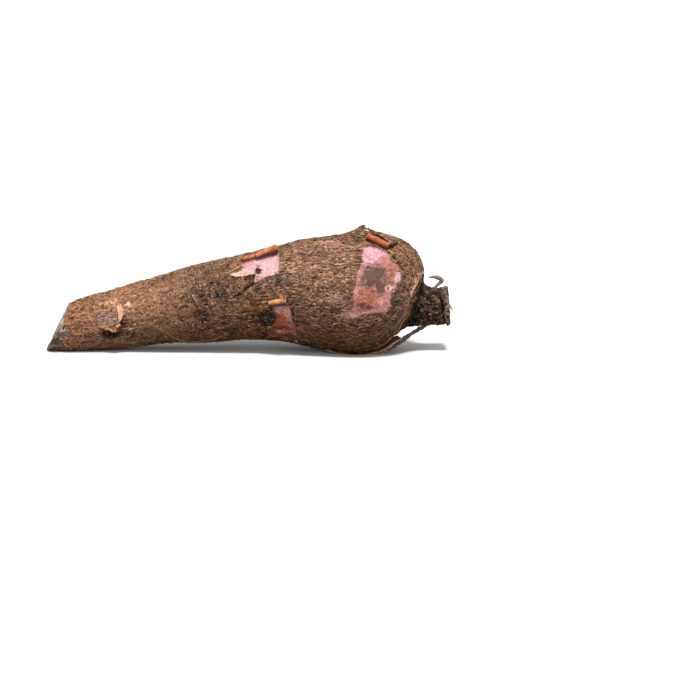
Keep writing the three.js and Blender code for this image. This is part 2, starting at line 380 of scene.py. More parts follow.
INNER_MARKS = [
    # shoulder patch: lilac-pink top, pink rim, salmon below, grey-brown stain in the middle
    (219, 52, 9, 12, 0.5, 0.9, (222, 168, 182)), (236.5, 27, 3.2, 13, 0.4, 1.0, (240, 196, 202)),
    (217, 4, 9, 7, 0.5, 0.8, (182, 106, 76)), (230.5, -2, 5, 8, 0.5, 0.8, (226, 158, 150)),
    (231, 36, 6, 7, 0.5, 0.7, (178, 108, 78)), (211, 16, 2.5, 14, 0.5, 0.8, (206, 142, 146)),
    (221.5, 25, 8.6, 9.5, 0.35, 0.97, (88, 66, 56)), (227.5, 15, 5, 5.5, 0.4, 0.9, (98, 68, 56)),
    (232, 29, 2.2, 1.8, 0.5, 0.8, (120, 66, 44)), (233.5, 21, 1.5, 2, 0.5, 0.7, (140, 84, 66)),
    (226, 45, 3, 3, 0.5, 0.6, (168, 98, 84)),
    # its dark flecks, and its pale lower corner and knot
    (217.6, 34, 1.6, 1.4, 0.4, 0.9, (48, 34, 32)), (214.5, -3, 3, 1.3, 0.5, 0.85, (96, 60, 50)),
    (219.5, -5.5, 3.4, 1.3, 0.5, 0.85, (92, 62, 56)),
    (206, -12, 7, 4, 0.5, 0.9, (226, 162, 152)), (201.5, -15, 2, 2, 0.5, 0.8, (226, 190, 160)),
    (231.1, 14, 2.1, 2.5, 0.25, 0.95, (240, 198, 186)), (231.1, 14, 1.1, 1.4, 0.35, 0.95, (180, 110, 90)),
    # pointed patch: pale pink, creamy towards its point, with a hole: olive-brown round it, and painted
    # shade in it
    (152, 50, 14, 16, 0.4, 1.0, (224, 176, 180)), (134, 42, 8, 5, 0.5, 1.0, (236, 196, 188)),
    (148.5, 49, 1.8, 2.0, 0.5, 0.8, (170, 92, 100)), (148.6, 40.5, 2.5, 2.8, 0.15, 1.0, (62, 36, 0)),
    (148.4, 42.6, 2.0, 1.0, 0.3, 1.0, (20, 10, 0)),
    # lower patch: mauve, then orange, then brown and pink again
    (163, -8, 9, 7, 0.5, 1.0, (246, 184, 188)), (166, -22, 6, 6, 0.5, 0.9, (250, 168, 154)),
    (158, -22, 3.5, 3, 0.5, 0.8, (168, 84, 66)), (159, -33, 8.5, 5.5, 0.4, 0.95, (178, 98, 50)),
    (162, -43, 11, 2.6, 0.4, 0.95, (92, 48, 18)), (168, -37, 3, 3, 0.5, 0.6, (200, 112, 92)),
    (160, -53, 12, 4.4, 0.4, 0.9, (206, 116, 104)), (153, -54, 4, 2.4, 0.5, 0.9, (120, 76, 40)),
    (158, -50.5, 2.6, 1.2, 0.5, 0.8, (232, 156, 148)), (165.5, -52, 2.2, 1.2, 0.5, 0.8, (120, 58, 40)),
    (162, -59, 8, 1.6, 0.5, 0.8, (96, 54, 26)),
    (174, -38, 6, 6, 0.5, 1.0, (200, 118, 106)), (173, -46, 4, 2, 0.5, 0.9, (150, 84, 46)),
]


# ---- the skin ---------------------------------------------------------------------------------
def spread(stops, spacings, count):
    """count + 1 places from the first stop to the last, whose spacing follows the spacings given."""
    fine = np.linspace(stops[0], stops[-1], 6000)
    crowd = np.concatenate([[0], np.cumsum(1 / np.interp(fine[1:], stops, spacings))])
    return np.interp(np.linspace(0, crowd[-1], count + 1), crowd, fine)


def low_lumps(straight):
    """Wide lumps that the bark and the inner bark share."""
    return 0.7 * cloudy(straight, (28, 22, 22), 61, 2)


def bark_relief(straight, fibre, streaky):
    """Height of the bark in millimetres: a weighted sum of noises of different sizes. straight is the
    place in space and fibre the place with its length along the fibres, so that ridges made from it
    run along the root. streaky is how far ridges take the place of curls."""
    ridges = 1 - 2 * np.abs(cloudy(fibre, (17, 2.6, 2.6), 11, 3))
    threads = cloudy(fibre, (6.5, 1.1, 1.1), 21, 2)
    curls = 1 - 2.4 * np.abs(cloudy(straight, (3.4, 2.2, 2.2), 31, 2))
    wrinkles = cloudy(fibre, (1.7, 9, 9), 41, 2)
    scales = ramp(cloudy(fibre, (9, 4.2, 4.2), 51, 3), -0.02, 0.1)
    rough = 0.7 * streaky * ridges + (0.15 + 0.35 * streaky) * threads + (0.75 - 0.45 * streaky) * curls
    rough = rough + 0.12 * wrinkles + 0.4 * (scales - 0.5)
    return (0.75 + 0.25 * streaky) * rough + low_lumps(straight)


def make_skin():
    """The bark as one grid: rows by distance run along, columns by angle, closer together over the
    peeled patches. Each point is the plain root's, moved along its normal by the height of the bark,
    of the inner bark, or of the worn tail. Returns everything known at each point of the grid."""
    end_run = run_at(share_at(SKIN_END))
    row_steps = [0.75, 1.0, 1.1, 0.85, 0.62, 0.62, 0.8, 1.2]
    runs = spread([0, 25, 60, 128, 135, 245, 262, end_run], row_steps, 322)
    degrees = spread([-90, -70, 95, 110, 270], [1.5, 0.8, 0.8, 1.5, 1.7], 290)[:-1]
    share, angle = np.meshgrid(share_of_run(runs), np.radians(degrees), indexing="ij")
    x = np.interp(share * LAST, np.arange(LAST + 1), STATIONS[:, 0])
    plain = smooth_root(share, angle, 1 - 0.2 * ramp(x, 250, 255))
    along = unit(np.gradient(plain, axis=0))
    ahead = np.roll(plain, -1, axis=1) - np.roll(plain, 1, axis=1)
    normals = unit(np.cross(along, ahead))
    run = run_at(share)
    fibre = np.stack([run, FIBRE_ROUND * np.cos(angle), FIBRE_ROUND * np.sin(angle)], -1)
    place = np.stack([run, angle * station_values(share)[..., 2]], -1)
    ragged = 0.7 * np.stack([cloudy(plain, 3.2, 71, 3), cloudy(plain, 3.2, 81, 3)], -1)
    peeled = peel_distance(place, ragged)
    fissure = fissure_depth(place, ragged)
    upper = ramp(np.sin(angle), -0.2, 0.45)
    clouds = 0.5 + 0.5 * ramp(cloudy(plain, 34, 5), -0.4, 0.2)
    streaky = ramp(x, 120, 175) * (0.25 + 0.75 * upper) * clouds
    bark = bark_relief(plain, fibre, streaky)
    around = (np.degrees(angle) + 90) % 360 - 90
    edge_x = np.interp(around, *np.array(WORN_EDGE, float).T) + 1.7 * cloudy(plain, 4.2, 131, 3)
    worn = 1 - ramp(x, edge_x - 0.3, edge_x + 0.5)
    scar_away = np.hypot((x - SCAR_AT) / 1.15, (angle - math.radians(SCAR_DEGREES)) * TAIL_RADIUS / 2.2)
    scar = np.exp(-((scar_away - 1.25) / 0.4) ** 2)
    crumbs = 0.9 * cloudy(plain, 2.6, 141, 3) + 0.3 * cloudy(plain, (9, 5, 5), 151, 2)
    crumbs = crumbs * ramp(scar_away, 1.2, 2.2) + 0.6 * scar - 1.1 * (1 - ramp(scar_away, 0.4, 1.0))
    lip = np.exp(-((peeled - 0.7) / 0.7) ** 2) * (0.35 + 0.35 * cloudy(plain, 5, 91, 2))
    bare = 1 - ramp(peeled, -0.35, 0.25)
    inner = -PEEL_DEPTH + 0.12 * cloudy(fibre, (8, 3, 3), 101, 3) + low_lumps(plain)
    height = (1 - bare) * (bark + lip) + bare * inner - FISSURE_DEPTH * fissure * (1 - bare)
    height = (1 - worn) * height + worn * (crumbs - 0.7)
    points = plain + height[..., None] * normals
    return {
        "share": share, "angle": angle, "x": x, "place": place, "straight": plain, "points": points,
        "normals": normals, "along": along, "fibre": fibre, "peeled": peeled, "relief": bark,
        "fissure": fissure, "streaky": streaky, "worn": worn, "scar": scar * worn,
        "hollow": worn * (1 - ramp(scar_away, 0.5, 1.0)), "crumbs": crumbs,
    }


def skin_colours(skin):
    """Painted colours of the bark and of the inner bark at each point, and how dirty the inner bark
    is. Each starts from one colour, and ovals of other colours are laid over it."""
    place, straight, x = skin["place"], skin["straight"], skin["x"]
    wobble = 0.35 * cloudy(straight, 9, 111, 3)
    bark = np.broadcast_to(BARK, place.shape[:-1] + (3,))
    # darker, olive-brown underside: painted shade of the underside, and soil stain
    below = ramp(-np.sin(skin["angle"]), 0.25, 0.85) * ramp(x, 40, 90)
    bark = bark + (0.82 * below)[..., None] * (tint(88, 50, 14) - bark)
    bark = painted(bark, place, BARK_MARKS, wobble)
    inner = np.broadcast_to(tint(196, 130, 118), place.shape[:-1] + (3,))
    inner = painted(inner, place, INNER_MARKS, 0.8 * cloudy(straight, 2.6, 121, 4, 0.7))
    degrees = np.degrees(skin["angle"])
    cleaner = ramp(degrees, 12, 24) * ramp(-x, -185, -175) + ramp(degrees, 38, 54)
    return bark, inner, 1 - 0.85 * np.clip(cleaner, 0, 1)


def close_ends(points, values):
    """Adds a pole point at each end of a grid that is closed round its columns."""
    poles = np.stack([points[0].mean(0), points[-1].mean(0)])
    flat = np.concatenate([points.reshape(-1, 3), poles])
    carried = {}
    for key, array in values.items():
        array = array.reshape(points.shape[0], points.shape[1], -1)
        ends = np.stack([array[0].mean(0), array[-1].mean(0)])
        carried[key] = np.concatenate([array.reshape(-1, array.shape[-1]), ends])
    return flat, carried


def pole_faces(rows, columns):
    """Triangles from the first and last rows of a closed grid to the two pole points after it."""
    j = np.arange(columns)
    k = (j + 1) % columns
    first, last = rows * columns, rows * columns + 1
    end = (rows - 1) * columns
    start_fan = np.stack([j, k, np.full(columns, first)], -1)
    end_fan = np.stack([end + k, end + j, np.full(columns, last)], -1)
    return np.concatenate([start_fan, end_fan])


# ---- what lies on the skin --------------------------------------------------------------------
def pick_places(skin, count, density, seed):
    """Random grid points of the skin, as many per square millimetre as density says."""
    random = np.random.default_rng(seed)
    long_step = np.linalg.norm(np.gradient(skin["points"], axis=0), axis=-1)
    round_step = np.linalg.norm(np.roll(skin["points"], -1, axis=1) - skin["points"], axis=-1)
    weight = (long_step * round_step * density).ravel()
    return random.choice(weight.size, count, p=weight / weight.sum()), random


def local_frame(skin, chosen, heading):
    """At chosen grid points: the point, the direction at a heading off the fibres, the direction
    across that one, and the direction out."""
    normals = skin["normals"].reshape(-1, 3)[chosen]
    along = skin["along"].reshape(-1, 3)[chosen]
    across = np.cross(normals, along)
    cos, sin = np.cos(heading)[:, None], np.sin(heading)[:, None]
    forward = cos * along + sin * across
    return skin["points"].reshape(-1, 3)[chosen], forward, np.cross(normals, forward), normals


def carried_out(frame_there, ahead, aside, rise):
    """Places ahead of, aside from and above each point of a local frame."""
    centre, forward, across, out = (part[:, None] for part in frame_there)
    return centre + ahead[..., None] * forward + aside[..., None] * across + rise[..., None] * out


def flake_pieces(skin, tints, count, seed, density, length, width, lift, wander):
    """Chips of bark, each a rim of six points with a top and a bottom point. Their lengths lie along
    the fibres, give or take wander in radians. The front half of the rim curls up by lift times its
    length. Returns points, an array of faces in a list, and the colour of each point."""
    chosen, random = pick_places(skin, count, density, seed)
    heading = random.normal(0, wander, count) + math.pi * random.integers(0, 2, count)
    frame_there = local_frame(skin, chosen, heading)
    half_long = length * np.exp(random.normal(0, 0.35, count)) / 2
    half_wide = width * np.exp(random.normal(0, 0.3, count)) / 2
    turn = np.radians(np.arange(6) * 60 + 30)
    jitter = 1 + random.uniform(-0.35, 0.35, (count, 6))
    u = jitter * np.cos(turn) * half_long[:, None]
    v = jitter * np.sin(turn) * half_wide[:, None]
    curl = lift * np.exp(random.normal(0, 0.4, count))[:, None] * half_long[:, None]
    rise = np.minimum(curl * np.clip(u / half_long[:, None], 0, 1.4) ** 2, 0.8)
    rise = rise + random.uniform(-0.05, 0.15, (count, 6))
    rise = rise - drop_away(skin, chosen, heading, u, v)
    rim = carried_out(frame_there, u, v, rise)
    centre, out = frame_there[0], frame_there[3]
    top = centre + (0.18 + 0.15 * random.random(count))[:, None] * out
    bottom = centre - 0.3 * out
    points = np.concatenate([rim, top[:, None], bottom[:, None]], axis=1)
    k = np.arange(6)
    nxt = (k + 1) % 6
    fan = np.concatenate([np.stack([k, nxt, np.full(6, 6)], -1), np.stack([nxt, k, np.full(6, 7)], -1)])
    faces = (fan[None] + 8 * np.arange(count)[:, None, None]).reshape(-1, 3)
    contrast = 0.45 + 0.55 * ramp(skin["x"].ravel()[chosen], 70, 150)
    colours = np.repeat(chip_colours(tints.reshape(-1, 3)[chosen], contrast, random)[:, None], 8, axis=1)
    return points.reshape(-1, 3), [faces], colours.reshape(-1, 3)


def drop_away(skin, chosen, heading, ahead, aside):
    """How far the rounded root falls away at places ahead and aside of chosen points: the square of
    the distance over twice the radius, round the root and, on the shoulder, along it too."""
    round_way = ahead * np.sin(heading)[:, None] + aside * np.cos(heading)[:, None]
    long_way = ahead * np.cos(heading)[:, None] - aside * np.sin(heading)[:, None]
    radius = station_values(skin["share"].ravel()[chosen])[:, 2][:, None]
    x = skin["x"].ravel()[chosen][:, None]
    return round_way**2 / (2 * radius) + long_way**2 / 40 * ramp(x, 215, 235)


def chip_colours(base, contrast, random):
    """Colours of chips: the bark's colour under them, darker or lighter by contrast, with the cream
    of pale fibre mixed into nearly half of them."""
    count = len(base)
    bright = np.exp(contrast * random.normal(-0.3, 0.55, count))[:, None] ** (1, 1.08, 1.2)
    cream = (ramp(random.random(count), 0.55, 0.9) * random.uniform(0.4, 1, count))[:, None]
    return base * bright * (1 - cream) + cream * pale_fibre(base, random)


def pale_fibre(base, random):
    """Cream to pinkish fibre colours, darker where the bark round them is dark."""
    hue = random.random((len(base), 1))
    pale = hue * tint(216, 170, 124) + (1 - hue) * tint(212, 172, 150)
    return pale * (0.3 + 0.7 * np.clip(base / BARK, 0, 1.2))


def tube_faces(count, stops, sides):
    """Faces of many tubes at once, each a closed grid of stops by sides, with its ends closed."""
    one = grid_faces(stops, sides)
    k = np.arange(1, sides - 1)
    start = np.stack([np.zeros(sides - 2, int), k, k + 1], -1)
    end = (stops - 1) * sides + np.stack([np.zeros(sides - 2, int), k + 1, k], -1)
    caps = np.concatenate([start, end])
    shift = (stops * sides * np.arange(count))[:, None, None]
    return (one[None] + shift).reshape(-1, 4), (caps[None] + shift).reshape(-1, 3)


def tubes(paths, radii, sides):
    """Rings of the given radii round each path. paths is tubes by stops by 3."""
    ahead = unit(np.gradient(paths, axis=1))
    side = unit(np.cross(ahead, np.broadcast_to((0.31, 0.2, 0.93), ahead.shape)))
    other = np.cross(side, ahead)
    turn = 2 * np.pi * np.arange(sides) / sides
    ring = np.cos(turn)[:, None] * side[:, :, None] + np.sin(turn)[:, None] * other[:, :, None]
    return paths[:, :, None] + radii[..., None, None] * ring


def fibre_pieces(skin, tints, count, seed, density, length, radius, spread_angle):
    """Fine curly fibres that lie on the bark: each is a path that bends steadily and wavers, with a
    thin three-sided tube round it that tapers to its ends. Returns the same as flake_pieces."""
    chosen, random = pick_places(skin, count, density, seed)
    stops = 7
    long = length * np.exp(random.normal(0, 0.45, count))
    heading = random.normal(0, spread_angle, count) + math.pi * random.integers(0, 2, count)
    frame_there = local_frame(skin, chosen, heading)
    s = np.linspace(0, 1, stops)
    bend = random.normal(0, 1.5, count)[:, None] * s + random.normal(0, 0.35, (count, stops)).cumsum(1) * 0.4
    step = (long / stops)[:, None]
    u = (np.cos(bend) * step).cumsum(1)
    v = (np.sin(bend) * step).cumsum(1)
    height = 0.15 + 0.25 * np.abs(random.normal(0, 1, count))[:, None] * np.sin(np.pi * s) ** 2
    height = height + np.clip(random.normal(-0.9, 0.7, count), 0, 0.5)[:, None] * s**2
    height = height - drop_away(skin, chosen, heading, u, v)
    paths = carried_out(frame_there, u, v, height)
    taper = 0.35 + 0.65 * np.sin(np.pi * (0.1 + 0.8 * s))
    radii = radius * np.exp(random.normal(0, 0.3, count))[:, None] * taper
    rings = tubes(paths, radii, 3)
    share = random.random((count, 1)) ** 0.6
    base = tints.reshape(-1, 3)[chosen]
    colour = base * (1 - share) + share * pale_fibre(base, random)
    colours = np.repeat(colour[:, None], stops * 3, axis=1)
    return rings.reshape(-1, 3), tube_faces(count, stops, 3), colours.reshape(-1, 3)


def make_scattered(name, scattered, material, smooth):
    """One mesh of many chips or fibres, from their points, arrays of faces and colours."""
    points, faces, tints = scattered
    return make_piece(name, points, faces, material, {"chip_tint": with_alpha(tints)}, smooth)


def smooth_route(stops, count):
    """Spline through the stops of a route, at evenly counted places."""
    return spline(np.array(stops, float), np.linspace(0, len(stops) - 1, count))


def make_rootlet(name, stops, radii, material, count=60, sides=14, rough=0.12, seed=0):
    """A tube along a spline through the stops, whose radius follows radii and is roughened by noise."""
    path = smooth_route(stops, count)
    radius = np.interp(np.linspace(0, 1, count), np.linspace(0, 1, len(radii)), radii)
    rings = tubes(path[None], radius[None], sides)
    swell = 1 + rough * cloudy(rings, (1.6, 1.6, 1.6), seed + 7, 2)[..., None] * 2
    rings = path[None, :, None] + (rings - path[None, :, None]) * swell
    quads, caps = tube_faces(1, count, sides)
    return make_piece(name, rings, [quads, caps], material)


def make_sheet(name, points, thickness, material, values):
    """A thick sheet over a grid of points. The same grid lies thickness below it, along its
    normals, and faces round the border join the two. side is 1 on top and 0 below."""
    rows, columns = points.shape[:2]
    normals = unit(np.cross(np.gradient(points, axis=0), np.gradient(points, axis=1)))
    below = points - thickness * normals
    top = grid_faces(rows, columns, closed=False)
    under = top[:, ::-1] + rows * columns
    index = np.arange(rows * columns).reshape(rows, columns)
    border = np.concatenate([index[0, :-1], index[:-1, -1], index[-1, :0:-1], index[:0:-1, 0]])
    following = np.roll(border, -1)
    rim = np.stack([border, following, following + rows * columns, border + rows * columns], -1)
    carried = {"side": np.concatenate([np.ones(rows * columns), np.zeros(rows * columns)])}
    for key, array in values.items():
        flat = array.reshape(rows * columns, -1)
        carried[key] = np.concatenate([flat, flat])
    return make_piece(name, np.concatenate([points.reshape(-1, 3), below.reshape(-1, 3)]),
                      [top, under, rim], material, carried)


def make_roll(name, start, end, radius, sweep, ragged, seed, material):
    """Bark rolled into a scroll between two places on the skin. Its section is a spiral that leaves
    the skin, comes up on the peeled side, and turns over the top and inwards through sweep degrees,
    while its radius shrinks by a third. Its edge is ragged by noise."""
    rows, columns = 46, 54
    first, out_a, _, _ = surface_at(*start)
    last, out_b, _, _ = surface_at(*end)
    way = np.linspace(0, 1, rows)[:, None]
    axis = unit(last - first)
    length = np.linalg.norm(last - first)
    out = unit(out_a + out_b)
    out = unit(out - (out @ axis) * axis)
    across = np.cross(out, axis)
    turn = np.linspace(0, 1, columns)[None]

    def rough(scale, turns, number):
        """Noise over the roll: one cell per scale along it, and turns cells round it."""
        return lattice_noise(stacked(way * length / scale, turn * turns, seed), seed + number)

    tear = 1 + ragged * rough(2.2, 0, 5)
    angle = math.radians(-90) - math.radians(sweep) * turn * tear
    taper = np.interp(way, [0, 1], radius)
    size = taper * (1 - 0.32 * turn) + 0.10 * rough(5, 3, 1) + 0.05 * rough(1.4, 3, 2)
    ends = 0.5 * rough(1e6, 4, 9)
    place = way * length + ends * np.where(way > 0.5, 1, -1) * np.abs(2 * way - 1) ** 6
    core = first + place[..., None] * axis + (taper - 0.3)[..., None] * out
    points = core + (size * np.cos(angle))[..., None] * across + (size * np.sin(angle))[..., None] * out
    lay = stacked(way * length, turn * math.radians(sweep) * taper, 0.0)
    # under: how far each place faces down, where painted shade darkens the roll
    under = ramp(-(np.sin(angle) * out[2] + np.cos(angle) * across[2]), -0.35, 0.75)
    return make_sheet(name, points, ROLL_THICKNESS, material, {"lay": lay, "under": under})


def make_skin_sheet(name, stops, material, seed, rows=60, thickness=1.0, rough=0.3,
                    torn=(0, 0, 0), chips=None):
    """A strip of bark over a route on the skin. Each stop has x, degrees, width, and how far the
    strip stands off at its lower and at its upper edge. It bends down as the root does, by the square
    of the distance over twice the radius, and noise frays its edges. torn is how many millimetres of
    its lower edge, upper edge and last end are pale and fibrous. chips is how many loose chips lie on
    it, and their material."""
    columns = 24
    x, degrees, width, off_low, off_high = smooth_route(stops, rows).T
    v = np.linspace(-0.5, 0.5, columns)[None]
    here, out, _, _ = surface_at(x, degrees)
    ahead = unit(np.gradient(here, axis=0))
    side = unit(np.cross(out, ahead))
    w = np.linspace(0, 1, rows)[:, None]
    bites = w * np.ptp(run_at(share_at(x))) / 2.8
    fray = 1 + rough * cloudy(stacked(bites, np.sign(v) * 3, seed), 1.0, seed, 3)
    spread_out = v * width[:, None] * fray
    lift = off_low[:, None] * (0.5 - v) + off_high[:, None] * (0.5 + v)
    radius = station_values(share_at(x))[:, 2][:, None]
    lift = lift - spread_out**2 / (2 * radius)
    lift = lift + 0.25 * cloudy(stacked(w * 14, v * width.max() / 2, seed), 1.0, seed + 3, 3)
    points = here[:, None] + spread_out[..., None] * side[:, None] + lift[..., None] * out[:, None]
    lay = stacked(run_at(share_at(x))[:, None], spread_out, 0.0)
    half = width[:, None] / 2
    to_end = run_at(share_at(x[-1])) - lay[..., 0]
    torn_here = np.zeros((rows, columns))
    for reach, away in zip(torn, (half + spread_out, half - spread_out, np.abs(to_end))):
        if reach:
            torn_here = np.maximum(torn_here, 1 - ramp(away, 0, reach))
    if chips:
        normals = unit(np.cross(np.gradient(points, axis=0), np.gradient(points, axis=1)))
        sheet = {"points": points, "normals": normals, "along": unit(np.gradient(points, axis=0)),
                 "share": share_at(x)[:, None] + 0 * v, "x": x[:, None] + 0 * v}
        colours = np.broadcast_to(BARK, points.shape)
        count, finish = chips
        scattered = flake_pieces(sheet, colours, count, seed, 1 - torn_here, 2.2, 0.8, 0.2, 0.6)
        make_scattered(name + "_chips", scattered, finish, smooth=False)
    return make_sheet(name, points, thickness, material, {"lay": lay, "torn": torn_here})


def hair_on_skin(name, stops, radii, material, seed):
    """A long hair along a route on the skin. Each stop has x, degrees and how far it stands off."""
    x, degrees, off = smooth_route(stops, 24).T
    here, out, _, _ = surface_at(x, degrees)
    make_rootlet(name, here + off[:, None] * out, radii, material, 110, 8, 0.2, seed)


# ---- neck and tail ----------------------------------------------------------------------------
def neck_relief(place, fibre):
    """Height of the neck's wood in millimetres: ridges and threads along its fibres, and knobs."""
    ridges = 1 - 2.2 * np.abs(cloudy(fibre, (11, 2.6, 2.6), 201, 3))
    knobs = cloudy(place, (2.0, 1.8, 1.8), 211, 3, 0.65)
    threads = 1 - 2 * np.abs(cloudy(fibre, (5, 0.9, 0.9), 221, 2))
    return 0.3 * ridges + 1.8 * knobs + 0.25 * threads


def make_neck(material):
    """The woody stump: rings that shrink from a flare in the shoulder to a raised collar, then rings
    that close over its rough end. Ridges and knobs stand on it."""
    side_rows, end_rows, columns = 100, 30, 230
    angle = np.linspace(0, 2 * np.pi, columns, endpoint=False)[None]
    x = np.concatenate([np.linspace(NECK_START, NECK_END, side_rows), np.full(end_rows, NECK_END)])[:, None]
    closing = np.cos(np.linspace(0.12, 0.5 * np.pi - 0.02, end_rows))
    reach = np.concatenate([np.ones(side_rows), closing])[:, None]
    share = np.broadcast_to(share_at(x), (len(x), columns))
    angles = np.broadcast_to(angle, share.shape)
    plain_radius = station_values(share)[..., 2]
    waver = 1.2 * np.sin(2 * angle + 0.7) + 0.7 * np.sin(5 * angle)
    some = 0.55 + 0.45 * np.sin(angle + 0.4) * np.cos(2 * angle)
    tilt = -2.8 * np.sin(angle)
    collar = 0.9 * np.exp(-((x - COLLAR_AT - 0.4 * tilt - 0.3 * waver) / 1.7) ** 2)
    collar = collar - 1.3 * some * np.exp(-((x - GROOVE_AT - tilt - 0.4 * waver) / 0.8) ** 2)
    flare = 1.3 * np.exp(-((x - FLARE_AT) / 3) ** 2)
    lift = flare + collar - 0.4 - 3 * (1 - ramp(x, 247.2, 250))
    points = smooth_root(share, angles, reach * (plain_radius + lift) / plain_radius)
    fibre = stacked(x, NECK_ROUND * np.cos(angle), NECK_ROUND * np.sin(angle))
    relief = neck_relief(points, fibre)
    on_end = np.clip(1 - reach, 0, 1) ** 0.5
    centre = station_values(share)[..., [0, 1, 1]]
    centre[..., 1] = SWAY * np.sin(2 * np.pi * x / SWAY_WAVE)
    out = unit(points - centre)
    out[..., 0] = 0
    out = unit(unit(out) * (1 - on_end)[..., None] + on_end[..., None] * np.array([1.0, 0, 0]))
    rough_end = 1.1 * cloudy(points, (3, 2.2, 2.2), 231, 3) - 0.8 * (1 - reach**2)
    fade = ramp(x, 247.5, 250)
    height = fade * ((1 - on_end) * relief + on_end * (0.4 * relief + rough_end))
    points = points + height[..., None] * out
    # deep: how far down the foot, in the crease with the shoulder, where painted shade darkens the wood
    deep = 1 - ramp(x + 0.8 * relief, 250, 259)
    closed, values = close_ends(points, {"fibre": fibre, "relief": relief + 1.5 * collar, "deep": deep})
    rows = len(x)
    return make_piece("neck_stump", closed, [grid_faces(rows, columns), pole_faces(rows, columns)],
                      material, values)


def make_tail_end(material):
    """The broken end: rings on the slanting plane of the tail, a ragged rim, a dry hollowed middle."""
    rings, columns = 46, 200
    angle = np.linspace(0, 2 * np.pi, columns, endpoint=False)[None]
    reach = np.concatenate([[0.9, 1.0], np.linspace(1.01, 0.03, rings - 2)])[:, None]
    depth = np.concatenate([[-3.0, -1.5], np.zeros(rings - 2)])[:, None]
    share = np.zeros((rings, columns))
    angles = np.broadcast_to(angle, share.shape)
    points = smooth_root(share, angles, np.broadcast_to(reach, share.shape))
    middle = points[-1].mean(0)
    outward = unit(np.cross(points[2, columns // 4] - middle, points[2, 0] - middle))
    outward = outward * -np.sign(outward[0])
    rim = np.exp(-((reach - 0.97) / 0.06) ** 2)
    rough = 0.9 * cloudy(points, (3.5, 3.5, 3.5), 241, 4) + 0.5 * cloudy(points, (1.2, 1.2, 1.2), 251, 2)
    ring_scar = np.linalg.norm(points - smooth_root(np.zeros(1), np.radians([8.0]), 0.55)[0], axis=-1)
    scar = 0.7 * np.exp(-((ring_scar - 2.0) / 0.55) ** 2) - 0.9 * np.exp(-((ring_scar / 1.4) ** 2))
    broken = 0.9 * rim - 1.0 * (1 - reach**2) + rough * (0.6 + 0.4 * rim) + scar
    height = depth + np.where(depth < 0, 0, 1) * broken
    points = points + height[..., None] * outward
    closed, carried = close_ends(points, {"relief": rough + scar})
    faces = [grid_faces(rings, columns)[:, ::-1], pole_faces(rings, columns)[:, ::-1]]
    return make_piece("tail_end", closed, faces, material, carried)


# ---- materials --------------------------------------------------------------------------------
def fill(tree, node, sockets):
    """Sets a node's inputs, or links them where a socket is given."""
    for key, value in sockets.items():
        if isinstance(value, bpy.types.NodeSocket):
            tree.links.new(value, node.inputs[key])
        else:
            node.inputs[key].default_value = value


def add(tree, kind, sockets=None, **settings):
    """A new node with its settings made and its inputs filled."""
    node = tree.nodes.new(kind)
    for key, value in settings.items():
        setattr(node, key, value)
    fill(tree, node, sockets or {})
    return node


def new_group(name, inputs, outputs):
    """An empty shader node group with named sockets, and its input and output nodes."""
    tree = bpy.data.node_groups.new(name, "ShaderNodeTree")
    for label, kind, start in inputs:
        socket = tree.interface.new_socket(name=label, in_out="INPUT", socket_type=kind)
        socket.default_value = start
    for label, kind in outputs:
        tree.interface.new_socket(name=label, in_out="OUTPUT", socket_type=kind)
    return tree, tree.nodes.new("NodeGroupInput").outputs, tree.nodes.new("NodeGroupOutput").inputs


def grain_group():
    """Noise whose cells have a size along each axis of the given place, in its units."""
    tree, given, result = new_group(
        "grain",
        [("Place", "NodeSocketVector", (0, 0, 0)), ("Cell", "NodeSocketVector", (1, 1, 1)),
         ("Detail", "NodeSocketFloat", 3.0), ("Twist", "NodeSocketFloat", 0.0)],
        [("Value", "NodeSocketFloat")],
    )
    scaled = add(tree, "ShaderNodeVectorMath", {0: given["Place"], 1: given["Cell"]}, operation="DIVIDE")
    noise = add(tree, "ShaderNodeTexNoise", {
        "Vector": scaled.outputs[0], "Scale": 1.0, "Detail": given["Detail"], "Roughness": 0.6,
        "Distortion": given["Twist"],
    })
    tree.links.new(noise.outputs[0], result["Value"])
    return tree


def flecks_group(grain):
    """A mask of separate flecks: the places where the grain is above a level."""
    tree, given, result = new_group(
        "flecks",
        [("Place", "NodeSocketVector", (0, 0, 0)), ("Cell", "NodeSocketVector", (1, 1, 1)),
         ("Level", "NodeSocketFloat", 0.6), ("Softness", "NodeSocketFloat", 0.06),
         ("Twist", "NodeSocketFloat", 0.6)],
        [("Mask", "NodeSocketFloat")],
    )
    base = add(tree, "ShaderNodeGroup", {}, node_tree=grain)
    for label in ("Place", "Cell", "Twist"):
        tree.links.new(given[label], base.inputs[label])
    base.inputs["Detail"].default_value = 2.0
    top = add(tree, "ShaderNodeMath", {0: given["Level"], 1: given["Softness"]}, operation="ADD")
    step = add(tree, "ShaderNodeMapRange", {
        "Value": base.outputs["Value"], "From Min": given["Level"], "From Max": top.outputs[0],
    }, interpolation_type="SMOOTHSTEP")
    tree.links.new(step.outputs["Result"], result["Mask"])
    return tree


GRAIN = grain_group()
FLECKS = flecks_group(GRAIN)


